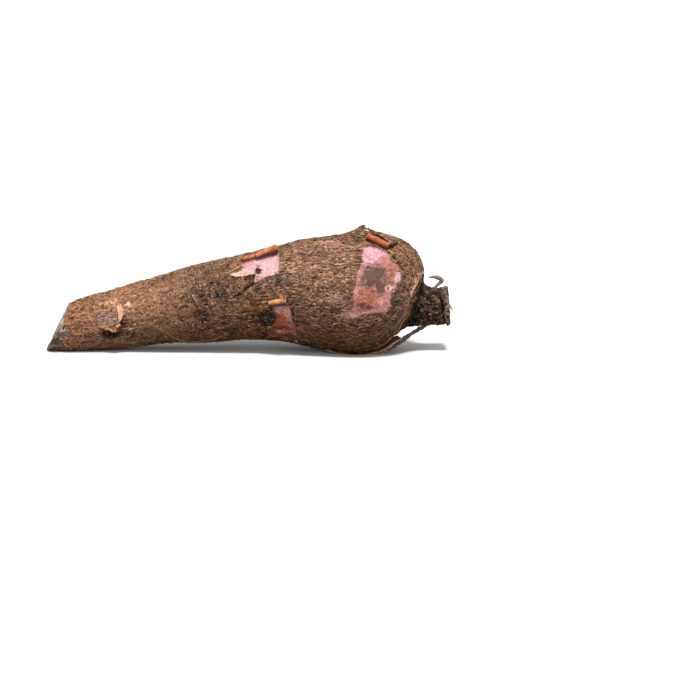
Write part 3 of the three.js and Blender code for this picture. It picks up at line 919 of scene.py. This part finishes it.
class Finish:
    """One material in the making: short names for the nodes that every finish here uses. Values and
    colours are sockets or numbers, and a colour in numbers is a display colour."""

    def __init__(self, name):
        self.material = bpy.data.materials.new(name)
        self.material.use_nodes = True
        self.tree = self.material.node_tree
        self.shader = self.tree.nodes["Principled BSDF"]

    def attribute(self, name, output="Fac"):
        """The piece's own value of this name."""
        return add(self.tree, "ShaderNodeAttribute", attribute_name=name).outputs[output]

    def millimetres(self):
        """Object coordinates in millimetres."""
        place = add(self.tree, "ShaderNodeTexCoord").outputs["Object"]
        return add(self.tree, "ShaderNodeMapping", {"Vector": place, "Scale": (1000, 1000, 1000)}).outputs[0]

    def moved(self, place, offset):
        """A place moved by an offset, so that two patterns of one kind differ."""
        return add(self.tree, "ShaderNodeMapping", {"Vector": place, "Location": offset}).outputs[0]

    def pattern(self, group, place, cell, **sockets):
        """A shared pattern over a place, with cells of one size or of one size per axis."""
        cell = (cell,) * 3 if isinstance(cell, (int, float)) else cell
        sockets.update(Place=place, Cell=cell)
        return add(self.tree, "ShaderNodeGroup", sockets, node_tree=group).outputs[0]

    def grain(self, place, cell, detail, twist=0.0):
        """Noise from 0 to 1."""
        return self.pattern(GRAIN, place, cell, Detail=detail, Twist=twist)

    def flecks(self, place, cell, level, softness, twist=0.6):
        """A mask of separate flecks, fewer and smaller as level rises."""
        return self.pattern(FLECKS, place, cell, Level=level, Softness=softness, Twist=twist)

    def math(self, operation, first, second, third=0.0):
        """The operation of this name on two or three values."""
        sockets = {0: first, 1: second, 2: third}
        return add(self.tree, "ShaderNodeMath", sockets, operation=operation).outputs[0]

    def times(self, first, second):
        """first times second."""
        return self.math("MULTIPLY", first, second)

    def times_plus(self, first, second, third):
        """first times second, plus third."""
        return self.math("MULTIPLY_ADD", first, second, third)

    def between(self, value, low, high, smooth=True):
        """0 where value is low, 1 where it is high."""
        kind = "SMOOTHSTEP" if smooth else "LINEAR"
        return add(self.tree, "ShaderNodeMapRange", {"Value": value, "From Min": low, "From Max": high},
                   interpolation_type=kind).outputs["Result"]

    def mix(self, share, first, second):
        """The first colour where share is 0 and the second where it is 1."""
        sockets = {0: share}
        for index, value in ((6, first), (7, second)):
            sockets[index] = value if isinstance(value, bpy.types.NodeSocket) else (*tint(*value), 1)
        return add(self.tree, "ShaderNodeMix", sockets, data_type="RGBA").outputs[2]

    def brightened(self, colour, amount):
        """A colour multiplied by a varying amount."""
        sockets = {0: colour, "Scale": amount}
        return add(self.tree, "ShaderNodeVectorMath", sockets, operation="SCALE").outputs[0]

    def bump(self, height, distance, strength):
        """A normal tilted by the slope of height, for a depth of distance in metres."""
        sockets = {"Height": height, "Distance": distance, "Strength": strength}
        return add(self.tree, "ShaderNodeBump", sockets).outputs[0]

    def finished(self, colour, roughness, normal, specular=0.3):
        """The material, with its shader filled."""
        sockets = {"Base Color": colour, "Roughness": roughness, "Normal": normal}
        fill(self.tree, self.shader, sockets | {"Specular IOR Level": specular})
        return self.material


def bark_colour(finish, fibre, space, base, relief, streaky):
    """Bark over a base colour: darker in its hollows as painted shade, paler on its ridges as painted
    highlight, with cream fibre flecks. Returns the colour and the height of its finest roughness."""
    streak = finish.grain(fibre, (5, 0.75, 0.75), 4, 0.4)
    curls = finish.grain(space, 1.7, 3, 1.8)
    speck = finish.grain(space, 0.9, 4, 0.8)
    patchy = finish.grain(space, 5.5, 3, 0.5)
    way = add(finish.tree, "ShaderNodeMix", {0: streaky, 2: curls, 3: streak}, data_type="FLOAT").outputs[0]
    fine = finish.times_plus(way, 0.55, finish.times(speck, 0.45))
    # low relief darkens as painted shade in the hollows, high relief lightens as painted highlight on the
    # ridges
    height = finish.between(relief, -0.55, 0.6, smooth=False)
    level = finish.times_plus(fine, 0.85, finish.times(height, 0.45))
    level = finish.times_plus(patchy, 0.25, level)
    amount = finish.between(level, 0.54, 0.98, smooth=False)
    bright = add(finish.tree, "ShaderNodeFloatCurve", {"Value": amount})
    curve = bright.mapping.curves[0]
    for point, place in zip(curve.points, ((0, 0.06), (1, 1.0))):
        point.location = place
    for place in ((0.3, 0.2), (0.55, 0.4), (0.75, 0.64)):
        curve.points.new(*place)
    colour = finish.mix(bright.outputs[0], (38, 21, 9), finish.brightened(base, 2.2))
    long_flecks = finish.flecks(finish.moved(fibre, (40, 3, 9)), (3.2, 0.8, 0.8), 0.59, 0.05)
    long_flecks = finish.times(long_flecks, finish.times_plus(streaky, 0.8, 0.2))
    short_flecks = finish.flecks(finish.moved(space, (7, 40, 3)), (1.6, 1.1, 1.1), 0.6, 0.05, 2.0)
    pale = finish.math("MAXIMUM", long_flecks, short_flecks)
    pale = finish.times(pale, finish.between(relief, -0.35, 0.25))
    colour = finish.mix(finish.times(pale, 0.8), colour, finish.brightened(base, 4.2))
    pits = finish.flecks(finish.moved(space, (3, 9, 70)), (1.8, 1.0, 1.0), 0.61, 0.06, 1.0)
    pits = finish.times(pits, finish.times_plus(streaky, 0.35, 0.2))
    colour = finish.mix(pits, colour, (40, 26, 16))
    return colour, finish.times_plus(pale, 0.4, fine)


def broken_colour(finish, space, relief):
    """Dry broken wood: hollows darkened to brown as painted shade, olive-brown crumbs and cream flecks.
    Returns the colour and its fine roughness."""
    speck = finish.grain(space, 1.2, 4, 0.8)
    # low relief darkens as painted shade in the hollows
    height = finish.between(relief, -0.7, 0.8, smooth=False)
    level = finish.times_plus(height, 0.5, finish.times(speck, 0.7))
    colour = finish.mix(finish.between(level, 0.4, 0.62), (58, 46, 36), (160, 138, 116))
    colour = finish.mix(finish.between(level, 0.62, 0.84), colour, (216, 196, 172))
    flecks = finish.flecks(finish.moved(space, (20, 4, 1)), 1.4, 0.58, 0.05, 1.6)
    return finish.mix(finish.times(flecks, 0.7), colour, (240, 226, 206)), speck


def bark_material():
    """Bark with fissures darkened as painted shade, a worn tail end and torn edges and, inside the peeled
    outlines, the smoother pink inner bark with blotches, rust, grime and dots."""
    finish = Finish("bark")
    fibre, space = finish.attribute("fibre", "Vector"), finish.millimetres()
    relief, peeled = finish.attribute("relief"), finish.attribute("peeled")
    colour, fine = bark_colour(
        finish, fibre, space, finish.attribute("bark_tint", "Color"), relief, finish.attribute("streaky"))
    fissure = finish.attribute("fissure")
    # painted shade in the fissures
    colour = finish.mix(finish.times(fissure, 0.9), colour, (28, 18, 12))
    broken, _ = broken_colour(finish, space, finish.attribute("crumbs"))
    colour = finish.mix(finish.attribute("worn"), colour, broken)
    colour = finish.mix(finish.times(finish.attribute("scar"), 0.9), colour, (200, 190, 168))
    # painted shade in the hollow middle of the ring scar
    colour = finish.mix(finish.times(finish.attribute("hollow"), 0.95), colour, (26, 22, 18))

    edge_noise = finish.grain(space, 0.8, 2)
    ragged = finish.times_plus(edge_noise, 0.7, finish.math("SUBTRACT", peeled, 0.35))
    torn = finish.between(finish.grain(space, 3.2, 3), 0.42, 0.62)
    torn = finish.times(finish.between(ragged, 0.7, 0.05), finish.times(torn, 0.65))
    colour = finish.mix(torn, colour, (196, 156, 120))
    inner = finish.attribute("inner_tint", "Color")
    mottle = finish.between(finish.grain(space, 1.5, 4, 0.8), 0.3, 0.66)
    mottle = finish.times_plus(mottle, 0.5, 0.68)
    inner = finish.brightened(inner, mottle)
    blotch = finish.grain(finish.moved(space, (31, 6, 12)), (3.4, 2.4, 2.4), 4, 1.4)
    blotch = finish.times(finish.math("SUBTRACT", blotch, 0.5), finish.attribute("dirt"))
    inner = finish.brightened(inner, finish.times_plus(blotch, 2.4, 1.0))
    rust = finish.flecks(finish.moved(space, (50, 2, 4)), (2.4, 2.0, 2.0), 0.6, 0.12)
    inner = finish.mix(finish.times(rust, 0.45), inner, (160, 88, 64))
    grime = finish.between(finish.grain(finish.moved(space, (8, 8, 30)), (2.6, 2.0, 2.0), 4, 1.2), 0.5, 0.66)
    grime = finish.times(grime, finish.attribute("dirt"))
    inner = finish.mix(finish.times(grime, 0.6), inner, (122, 70, 46))
    dots = finish.flecks(finish.moved(space, (5, 60, 4)), 1.0, 0.7, 0.05)
    inner = finish.mix(finish.times(dots, 0.6), inner, (120, 58, 58))
    # painted shade on the inner bark along the peeled edge, under the bark's lip
    inner = finish.mix(finish.between(ragged, -0.7, 0.0), inner, finish.brightened(inner, 0.55))
    bare = finish.between(ragged, 0.06, -0.06)
    colour = finish.mix(bare, colour, inner)

    rough = finish.times_plus(bare, -0.3, 0.88)
    height = finish.mix(bare, fine, finish.times(mottle, 0.25))
    normal = finish.bump(height, 0.0011, 0.9)
    return finish.finished(colour, rough, normal)


def chip_material():
    """Loose chips and fibres of bark, each in its own painted colour, finely mottled."""
    finish = Finish("bark_chips")
    mottle = finish.grain(finish.millimetres(), 0.7, 3)
    colour = finish.attribute("chip_tint", "Color")
    colour = finish.brightened(colour, finish.times_plus(mottle, 1.1, 0.45))
    return finish.finished(colour, 0.85, finish.bump(mottle, 0.0003, 0.7))


def curl_material(name, deep, pale):
    """Rolled bark: the smooth inner face outside, from deep to pale, with painted shade where it faces
    down, and the rough dark bark inside."""
    finish = Finish(name)
    lay, space = finish.attribute("lay", "Vector"), finish.millimetres()
    side = finish.attribute("side")
    lines = finish.grain(lay, (0.55, 7, 1), 3, 0.3)
    clouds = finish.grain(space, 3.4, 4, 0.5)
    warm = finish.mix(finish.between(clouds, 0.36, 0.64), deep, pale)
    warm = finish.brightened(warm, finish.times_plus(lines, 0.9, 0.6))
    spots = finish.flecks(finish.moved(space, (9, 30, 2)), (1.5, 1.2, 1.2), 0.63, 0.08)
    warm = finish.mix(finish.times(spots, 0.5), warm, (104, 62, 40))
    rough = finish.grain(space, 0.9, 4, 0.7)
    dark = finish.mix(finish.between(rough, 0.35, 0.68), (44, 32, 24), (138, 106, 80))
    # painted shade where the roll faces down
    warm = finish.mix(finish.times(finish.attribute("under"), 0.92), warm, (72, 28, 8))
    outside = finish.between(side, 0.3, 0.7)
    colour = finish.mix(outside, dark, warm)
    height = finish.mix(outside, rough, finish.times(lines, 0.35))
    gloss = finish.times_plus(outside, -0.3, 0.85)
    return finish.finished(colour, gloss, finish.bump(height, 0.0004, 0.7), 0.4)


def loose_bark_material(name, bark, rim):
    """Loose sheets of bark: rough bark outside, orange-brown inside, a rim of its own colour, and
    pale fibres where the sheet is torn."""
    finish = Finish(name)
    lay, space = finish.attribute("lay", "Vector"), finish.millimetres()
    side = finish.attribute("side")
    tone = add(finish.tree, "ShaderNodeRGB").outputs[0]
    tone.default_value = (*tint(*bark), 1)
    relief = finish.math("SUBTRACT", finish.grain(lay, (6, 1.8, 1.8), 3, 0.4), 0.5)
    colour, fine = bark_colour(finish, lay, space, tone, finish.times(relief, 2.0), 0.7)
    inside = finish.mix(finish.grain(space, 2.2, 3), (142, 84, 50), (190, 128, 86))
    torn = finish.times_plus(finish.grain(space, 1.6, 3, 0.6), 0.9, finish.attribute("torn"))
    fibres = finish.between(finish.grain(space, 1.2, 3), 0.35, 0.65)
    pale = finish.mix(fibres, (168, 108, 64), (232, 190, 152))
    colour = finish.mix(finish.between(torn, 0.85, 1.1), colour, pale)
    edge = finish.times(finish.between(side, 0.02, 0.3), finish.between(side, 0.98, 0.7))
    colour = finish.mix(finish.between(side, 0.35, 0.65), inside, colour)
    colour = finish.mix(edge, colour, rim)
    return finish.finished(colour, 0.82, finish.bump(fine, 0.0007, 0.8))


def neck_material():
    """Dark, knobbly wood: black-brown hollows as painted shade, grey-brown knobs, pale broken fibres."""
    finish = Finish("neck_wood")
    fibre, space = finish.attribute("fibre", "Vector"), finish.millimetres()
    relief = finish.attribute("relief")
    threads = finish.grain(fibre, (3.5, 0.7, 0.7), 4, 0.6)
    speck = finish.grain(space, 1.1, 4, 0.8)
    fine = finish.times_plus(threads, 0.35, finish.times(speck, 0.5))
    # low relief darkens as painted shade in the hollows
    level = finish.times_plus(finish.between(relief, -1.2, 1.4, smooth=False), 0.6, fine)
    # darker at the foot, where it sinks into the shoulder: painted shade in the crease
    level = finish.times_plus(finish.attribute("deep"), -0.26, level)
    colour = finish.mix(finish.between(level, 0.56, 0.86), (20, 15, 13), (78, 58, 48))
    colour = finish.mix(finish.between(level, 0.84, 1.06), colour, (150, 120, 102))
    flecks = finish.flecks(finish.moved(fibre, (20, 4, 1)), (1.9, 1.0, 1.0), 0.59, 0.05, 1.4)
    flecks = finish.times(flecks, finish.between(level, 0.5, 0.8))
    colour = finish.mix(finish.times(flecks, 0.8), colour, (202, 164, 140))
    olive = finish.grain(space, 6, 2)
    colour = finish.mix(finish.times(finish.between(olive, 0.52, 0.66), 0.3), colour, (84, 70, 44))
    height = finish.times_plus(flecks, 0.4, finish.math("ADD", threads, speck))
    return finish.finished(colour, 0.9, finish.bump(height, 0.001, 0.9), 0.2)


def tail_material():
    """The dry broken end of the tail."""
    finish = Finish("tail_end")
    colour, speck = broken_colour(finish, finish.millimetres(), finish.attribute("relief"))
    return finish.finished(colour, 0.9, finish.bump(speck, 0.0008, 0.9), 0.2)


def rootlet_material(name, dark, pale):
    """Dry rootlets and hairs: streaked between two colours."""
    finish = Finish(name)
    streaks = finish.grain(finish.millimetres(), (1.6, 0.5, 0.5), 4, 0.6)
    colour = finish.mix(finish.between(streaks, 0.35, 0.65), dark, pale)
    return finish.finished(colour, 0.82, finish.bump(streaks, 0.0004, 0.8), 0.25)


# ---- light, floor and camera ------------------------------------------------------------------
VIEW_HEIGHT = 10.0  # degrees above level
EYE_DISTANCE = 1.11  # metres
LENS, SENSOR = 85.0, 36.0  # focal length and sensor width in millimetres
ROOT_MIDDLE = (137.0, 0, 40.0)  # millimetres from the tail, as the root's dimensions are
FLOOR_HALF = 6.0  # metres
FLOOR_LIT, FLOOR_SEEN = 0.3, 0.92  # how pale the floor is to the light that it throws back, and to the eye
SURROUND_SEEN = 1.2
SURROUND = 0.5  # strength of the light from all round
ASIDE, BELOW = 0.0675, 0.0355  # metres from the root's middle right and down to the middle of the view


def make_camera():
    """Looks along +Y and a little down. The root lies left of and above the middle of the view."""
    camera = bpy.data.objects.new("camera", bpy.data.cameras.new("camera"))
    bpy.context.scene.collection.objects.link(camera)
    camera.data.lens, camera.data.sensor_width = LENS, SENSOR
    height = math.radians(VIEW_HEIGHT)
    back = np.array([0, -math.cos(height), math.sin(height)])
    up = np.array([0, math.sin(height), math.cos(height)])
    middle = (np.array(ROOT_MIDDLE) + SHIFT) * MILLIMETRE
    aim = middle + np.array([ASIDE, 0, 0]) - BELOW * up
    camera.location = aim + EYE_DISTANCE * back
    camera.rotation_euler = (math.radians(90 - VIEW_HEIGHT), 0, 0)
    bpy.context.scene.camera = camera


def area_light(name, place, aim, size, power):
    """A rectangular light at a place, turned towards its aim."""
    light = bpy.data.lights.new(name, "AREA")
    light.shape, light.size, light.size_y = "RECTANGLE", *size
    light.energy = power
    lamp = bpy.data.objects.new(name, light)
    lamp.location = place
    direction = np.array(aim, float) - np.array(place, float)
    lamp.rotation_euler = mathutils.Vector(direction).to_track_quat("-Z", "Y").to_euler()
    bpy.context.scene.collection.objects.link(lamp)


def sun_light(name, lean, power, softness):
    """A distant soft light. lean is how many degrees it comes from the left, then from the front."""
    light = bpy.data.lights.new(name, "SUN")
    light.energy, light.angle = power, math.radians(softness)
    lamp = bpy.data.objects.new(name, light)
    lamp.rotation_euler = (math.radians(lean[1]), math.radians(lean[0]), 0)
    bpy.context.scene.collection.objects.link(lamp)


def make_stage():
    """A plain white floor, a white surround and soft light from above and in front."""
    mesh = bpy.data.meshes.new("floor")
    corners = [(x * FLOOR_HALF, y * FLOOR_HALF, 0) for x, y in ((-1, -1), (1, -1), (1, 1), (-1, 1))]
    mesh.from_pydata(corners, [], [(0, 1, 2, 3)])
    floor = bpy.data.objects.new("floor", mesh)
    bpy.context.scene.collection.objects.link(floor)
    paper = bpy.data.materials.new("white_floor")
    paper.use_nodes = True
    sheet = paper.node_tree.nodes["Principled BSDF"]
    sheet.inputs["Roughness"].default_value = 0.9
    looked_at = add(paper.node_tree, "ShaderNodeLightPath").outputs["Is Camera Ray"]
    tones = {"Value": looked_at, "To Min": FLOOR_LIT, "To Max": FLOOR_SEEN}
    white = add(paper.node_tree, "ShaderNodeMapRange", tones)
    paper.node_tree.links.new(white.outputs["Result"], sheet.inputs["Base Color"])
    mesh.materials.append(paper)
    world = bpy.data.worlds.new("white_surround")
    bpy.context.scene.world = world
    world.use_nodes = True
    tree = world.node_tree
    seen = add(tree, "ShaderNodeLightPath").outputs["Is Camera Ray"]
    strengths = {"Value": seen, "To Min": SURROUND, "To Max": SURROUND_SEEN}
    strength = add(tree, "ShaderNodeMapRange", strengths).outputs["Result"]
    fill(tree, tree.nodes["Background"], {"Strength": strength, "Color": (1, 1, 1, 1)})
    sun_light("key", (4, 24), 3.1, 12)
    area_light("front", (0.25, -1.3, 0.75), (0, 0, 0.04), (0.9, 0.6), 2)
    bpy.context.scene.view_settings.view_transform = "Standard"


# ---- putting it together ----------------------------------------------------------------------
make_camera()
make_stage()

bark = bark_material()
skin = make_skin()
bark_tint, inner_tint, dirt = skin_colours(skin)
painted_values = {"dirt": dirt, "bark_tint": with_alpha(bark_tint), "inner_tint": with_alpha(inner_tint)}
for key in ("fibre", "peeled", "relief", "fissure", "streaky", "worn", "scar", "hollow", "crumbs"):
    painted_values[key] = skin[key]
skin_points, skin_values = close_ends(skin["points"], painted_values)
rows, columns = skin["share"].shape
skin_faces = [grid_faces(rows, columns), pole_faces(rows, columns)]
skin_piece = make_piece("root_skin", skin_points, skin_faces, bark, skin_values)
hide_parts(NODE)

# Masks of where chips and fibres lie: on bark, fewer towards the tail, in clouds, and on the belly.
on_bark = ramp(skin["peeled"], 0.3, 1.2) * ramp(-skin["x"], -250, -244) * ramp(skin["x"], 13, 20)
on_bark = on_bark * (1 - skin["worn"]) * (1 - 0.95 * ramp(skin["fissure"], 0, 0.3))
chipped = on_bark * (0.7 + 0.3 * ramp(skin["x"], 50, 130))
hairy = chipped * (0.4 + 0.6 * ramp(cloudy(skin["straight"], 14, 301, 2), -0.2, 0.3))
belly = on_bark * ramp(skin["x"], 120, 175)
chips = chip_material()
for name, count, seed, length, width, lift, wander, shown in (
    ("bark_chips_small", 14500, 401, 1.8, 0.8, 0.25, 0.7, chipped),
    ("bark_chips_long", 5500, 402, 5.2, 0.75, 0.06, 0.13, belly),
    ("bark_chips_lifted", 900, 403, 2.8, 1.4, 0.35, 0.4, hairy),
):
    scattered = flake_pieces(skin, bark_tint, count, seed, shown, length, width, lift, wander)
    make_scattered(name, scattered, chips, smooth=False)
curly_places = hairy * (1 - 0.8 * skin["streaky"])
tail_places = on_bark * ramp(-skin["x"], -150, -90)
for name, count, seed, length, radius, wander, shown in (
    ("bark_fibres_short", 3800, 411, 3.0, 0.17, 0.55, hairy),
    ("bark_fibres_curly", 3400, 413, 2.4, 0.18, 1.4, curly_places),
    ("bark_fibres_long", 450, 412, 6.0, 0.16, 0.4, hairy),
    ("bark_fibres_tail", 2200, 414, 2.2, 0.22, 1.6, tail_places),
):
    scattered = fibre_pieces(skin, bark_tint, count, seed, shown, length, radius, wander)
    make_scattered(name, scattered, chips, smooth=True)

curled = curl_material("bark_curl", (160, 84, 44), (214, 136, 86))
deep_curled = curl_material("bark_curl_deep", (146, 74, 30), (196, 112, 58))
pale_curled = curl_material("bark_curl_pale", (172, 106, 62), (220, 154, 106))
for name, start, end, radius, sweep, ragged, seed, finish in (
    ("curl_over_shoulder_patch", (216, 69), (228.2, 59), (3.1, 3.1), 420, 0.1, 501, deep_curled),
    ("curl_over_pointed_patch", (148, 64), (161.4, 69), (2.1, 3.4), 420, 0.1, 502, curled),
    ("curl_small_over_pointed_patch", (139.2, 62.4), (147.4, 66), (2.1, 1.8), 400, 0.1, 503, curled),
    ("curl_at_point", (130.2, 46.5), (137.8, 50.5), (0.7, 1.15), 320, 0.1, 504, curled),
    ("curl_over_lower_patch", (154.6, -3), (166.7, -0.5), (2.4, 3.3), 330, 0.5, 505, pale_curled),
    ("curl_under_lower_patch", (159, -61), (172, -60), (1.3, 1.9), 240, 0.2, 506, curled),
):
    make_roll(name, start, end, radius, sweep, ragged, seed, finish)

loose = loose_bark_material("loose_bark", (118, 86, 64), rim=(206, 162, 120))
pale_torn = loose_bark_material("pale_torn_bark", (206, 158, 128), rim=(228, 180, 148))
ochre_torn = loose_bark_material("ochre_torn_bark", (176, 118, 80), rim=(190, 128, 88))
dark_loose = loose_bark_material("dark_loose_bark", (98, 70, 50), rim=(70, 48, 32))
lilac = loose_bark_material("lilac_flake", (142, 108, 96), rim=(184, 128, 90))
make_skin_sheet("bark_flap_by_shoulder_patch", [
    (203, 84, 15, 0.2, 0.3), (208, 84, 17, 0.5, 1.6), (212, 84, 17, 0.9, 3.2), (215.5, 85, 17, 1.0, 4.6),
], loose, 511, torn=(0, 0, 0.6), chips=(260, chips))
make_skin_sheet("bark_over_shoulder_curl", [
    (217.4, 81, 14, 6.2, 0.3), (221, 76.5, 15, 6.6, 0.3), (226, 71, 15, 6.6, 0.3), (230.5, 66, 13, 5.0, 0.3),
], dark_loose, 514, thickness=0.7, chips=(260, chips))
make_skin_sheet("bark_flake_near_tail", [
    (37.5, 6, 6, 0.8, 0.2), (40.5, 9, 11, 2.0, 0.3), (45, 10, 13.5, 3.6, 0.3), (49.5, 10, 14, 4.6, 0.5),
    (52, 12, 12, 3.8, 1.0),
], lilac, 512, torn=(3.4, 0, 0), thickness=1.6, rough=0.5, chips=(70, chips))
make_skin_sheet("pale_strip_by_flake", [
    (54.6, 37, 0.6, 1.0, 0.6), (55.3, 31, 2.0, 1.6, 1.2), (56.0, 22, 3.0, 2.4, 1.6),
    (56.2, 13, 3.0, 3.2, 2.4), (54.8, 4, 2.0, 3.8, 3.2), (52.6, -2, 0.8, 4.2, 3.8),
], pale_torn, 519, thickness=0.7, rough=1.2)
make_skin_sheet("orange_lump_by_flake", [
    (38.5, -1, 1.2, 1.2, 1.0), (42, -5, 2.0, 2.6, 2.4), (46, -8, 2.6, 4.0, 3.8), (49, -10, 3.6, 5.0, 4.6),
    (50.8, -9, 2.0, 4.8, 4.6),
], ochre_torn, 520, thickness=1.6, rough=1.6)
make_skin_sheet("bark_edge_round_shoulder", [
    (248.6, 70, 1.6, 0.8, 1.2), (247.6, 58, 2.8, 0.8, 1.4), (246.4, 42, 3.4, 0.7, 1.5),
    (245.2, 27, 3.0, 0.6, 1.3), (244.8, 15, 2.2, 0.5, 1.0), (245.4, 6, 0.8, 0.4, 0.6),
], pale_torn, 517, rows=90, rough=0.5)
make_skin_sheet("bark_edge_low_on_shoulder", [
    (243.6, 18, 1.6, 0.3, 0.6), (244, 8, 4, 0.4, 1.1), (244.8, -6, 4.4, 0.5, 1.2), (245.2, -28, 4, 0.6, 1.3),
    (244.6, -50, 2.6, 0.9, 1.6),
], loose, 515, rows=110, torn=(0, 1.0, 0), rough=0.5)
make_skin_sheet("orange_edge_low_on_shoulder", [
    (245.6, -48, 1.6, 1.0, 1.4), (242, -56, 3, 1.4, 1.0), (236, -61, 3, 1.6, 0.8), (229, -64, 1.4, 1.4, 0.6),
], curled, 518, rows=80)
make_skin_sheet("bark_strip_under_belly", [
    (191, -73, 3, 0.6, 2.4), (200, -74, 6, 0.3, 3.2), (212, -74, 8, 0.2, 3.6), (226, -73, 9, 0.3, 3.8),
    (236, -71, 10, 0.6, 4.4), (242.5, -67, 11, 1.2, 5.0), (246.6, -63, 8, 2.4, 6.4),
], loose, 513, rows=150, torn=(0, 1.3, 0))

make_neck(neck_material())
make_tail_end(tail_material())
grey_rootlet = rootlet_material("grey_rootlet", (58, 48, 44), (134, 116, 104))
mauve_fibre = rootlet_material("mauve_fibre", (104, 84, 84), (176, 154, 152))
pale_hair = rootlet_material("pale_hair", (120, 92, 66), (186, 150, 112))
make_rootlet("side_rootlet", [
    (262, -5, 22), (257, -7.5, 17.8), (248, -12.5, 13), (240.5, -17, 8), (233, -21, 4),
], [1.8, 1.3, 1.2, 1.6, 1.1, 0.8], grey_rootlet, rough=0.4)
make_rootlet("neck_hook", [
    (264.4, -3, 40.0), (265.6, -3, 44.0), (268.2, -3, 46.9), (270.3, -3, 49.0), (267.6, -3.4, 51.0),
    (264.2, -4, 51.6), (261.2, -4, 51.0),
], [1.5, 0.85, 1.1, 1.5, 1.5, 1.0, 0.25], mauve_fibre)
for name, radii, seed, stops in (
    ("long_hair_under_tail", [0.3, 0.45, 0.55, 0.5, 0.3], 521, [
        (69.6, -3, 0.5), (75.5, -17, 0.8), (83, -34, 1.0), (87, -48, 1.2), (95, -62, 1.3), (105, -62, 1.3),
        (115, -55, 1.0), (122, -50, 0.6)]),
    ("pale_hair_on_middle", [0.3, 0.55, 0.3], 523, [(104.5, 18, 0.9), (106, 12, 1.2), (107, 5, 0.9)]),
    ("hair_on_shoulder_0", [0.25, 0.42, 0.25], 530, [
        (240, -34, 0.8), (243.5, -22, 1.3), (244.4, -8, 1.2), (243, 6, 0.8)]),
    ("hair_on_shoulder_1", [0.25, 0.42, 0.25], 531, [(228, 80, 0.9), (236, 70, 1.1), (242, 62, 0.8)]),
):
    hair_on_skin(name, stops, radii, pale_hair, seed)
for name, radii, stops in (
    ("neck_splinter_high", [0.4, 0.7, 0.3], [(272.6, -10.5, 36), (275, -10.8, 33), (277.4, -10.5, 29.5)]),
    ("neck_splinter_low", [0.4, 0.6, 0.3], [(270.8, -13, 29), (272.4, -13.2, 25.5), (273.6, -12.4, 21.5)]),
):
    make_rootlet(name, stops, radii, pale_hair, 30, 8)
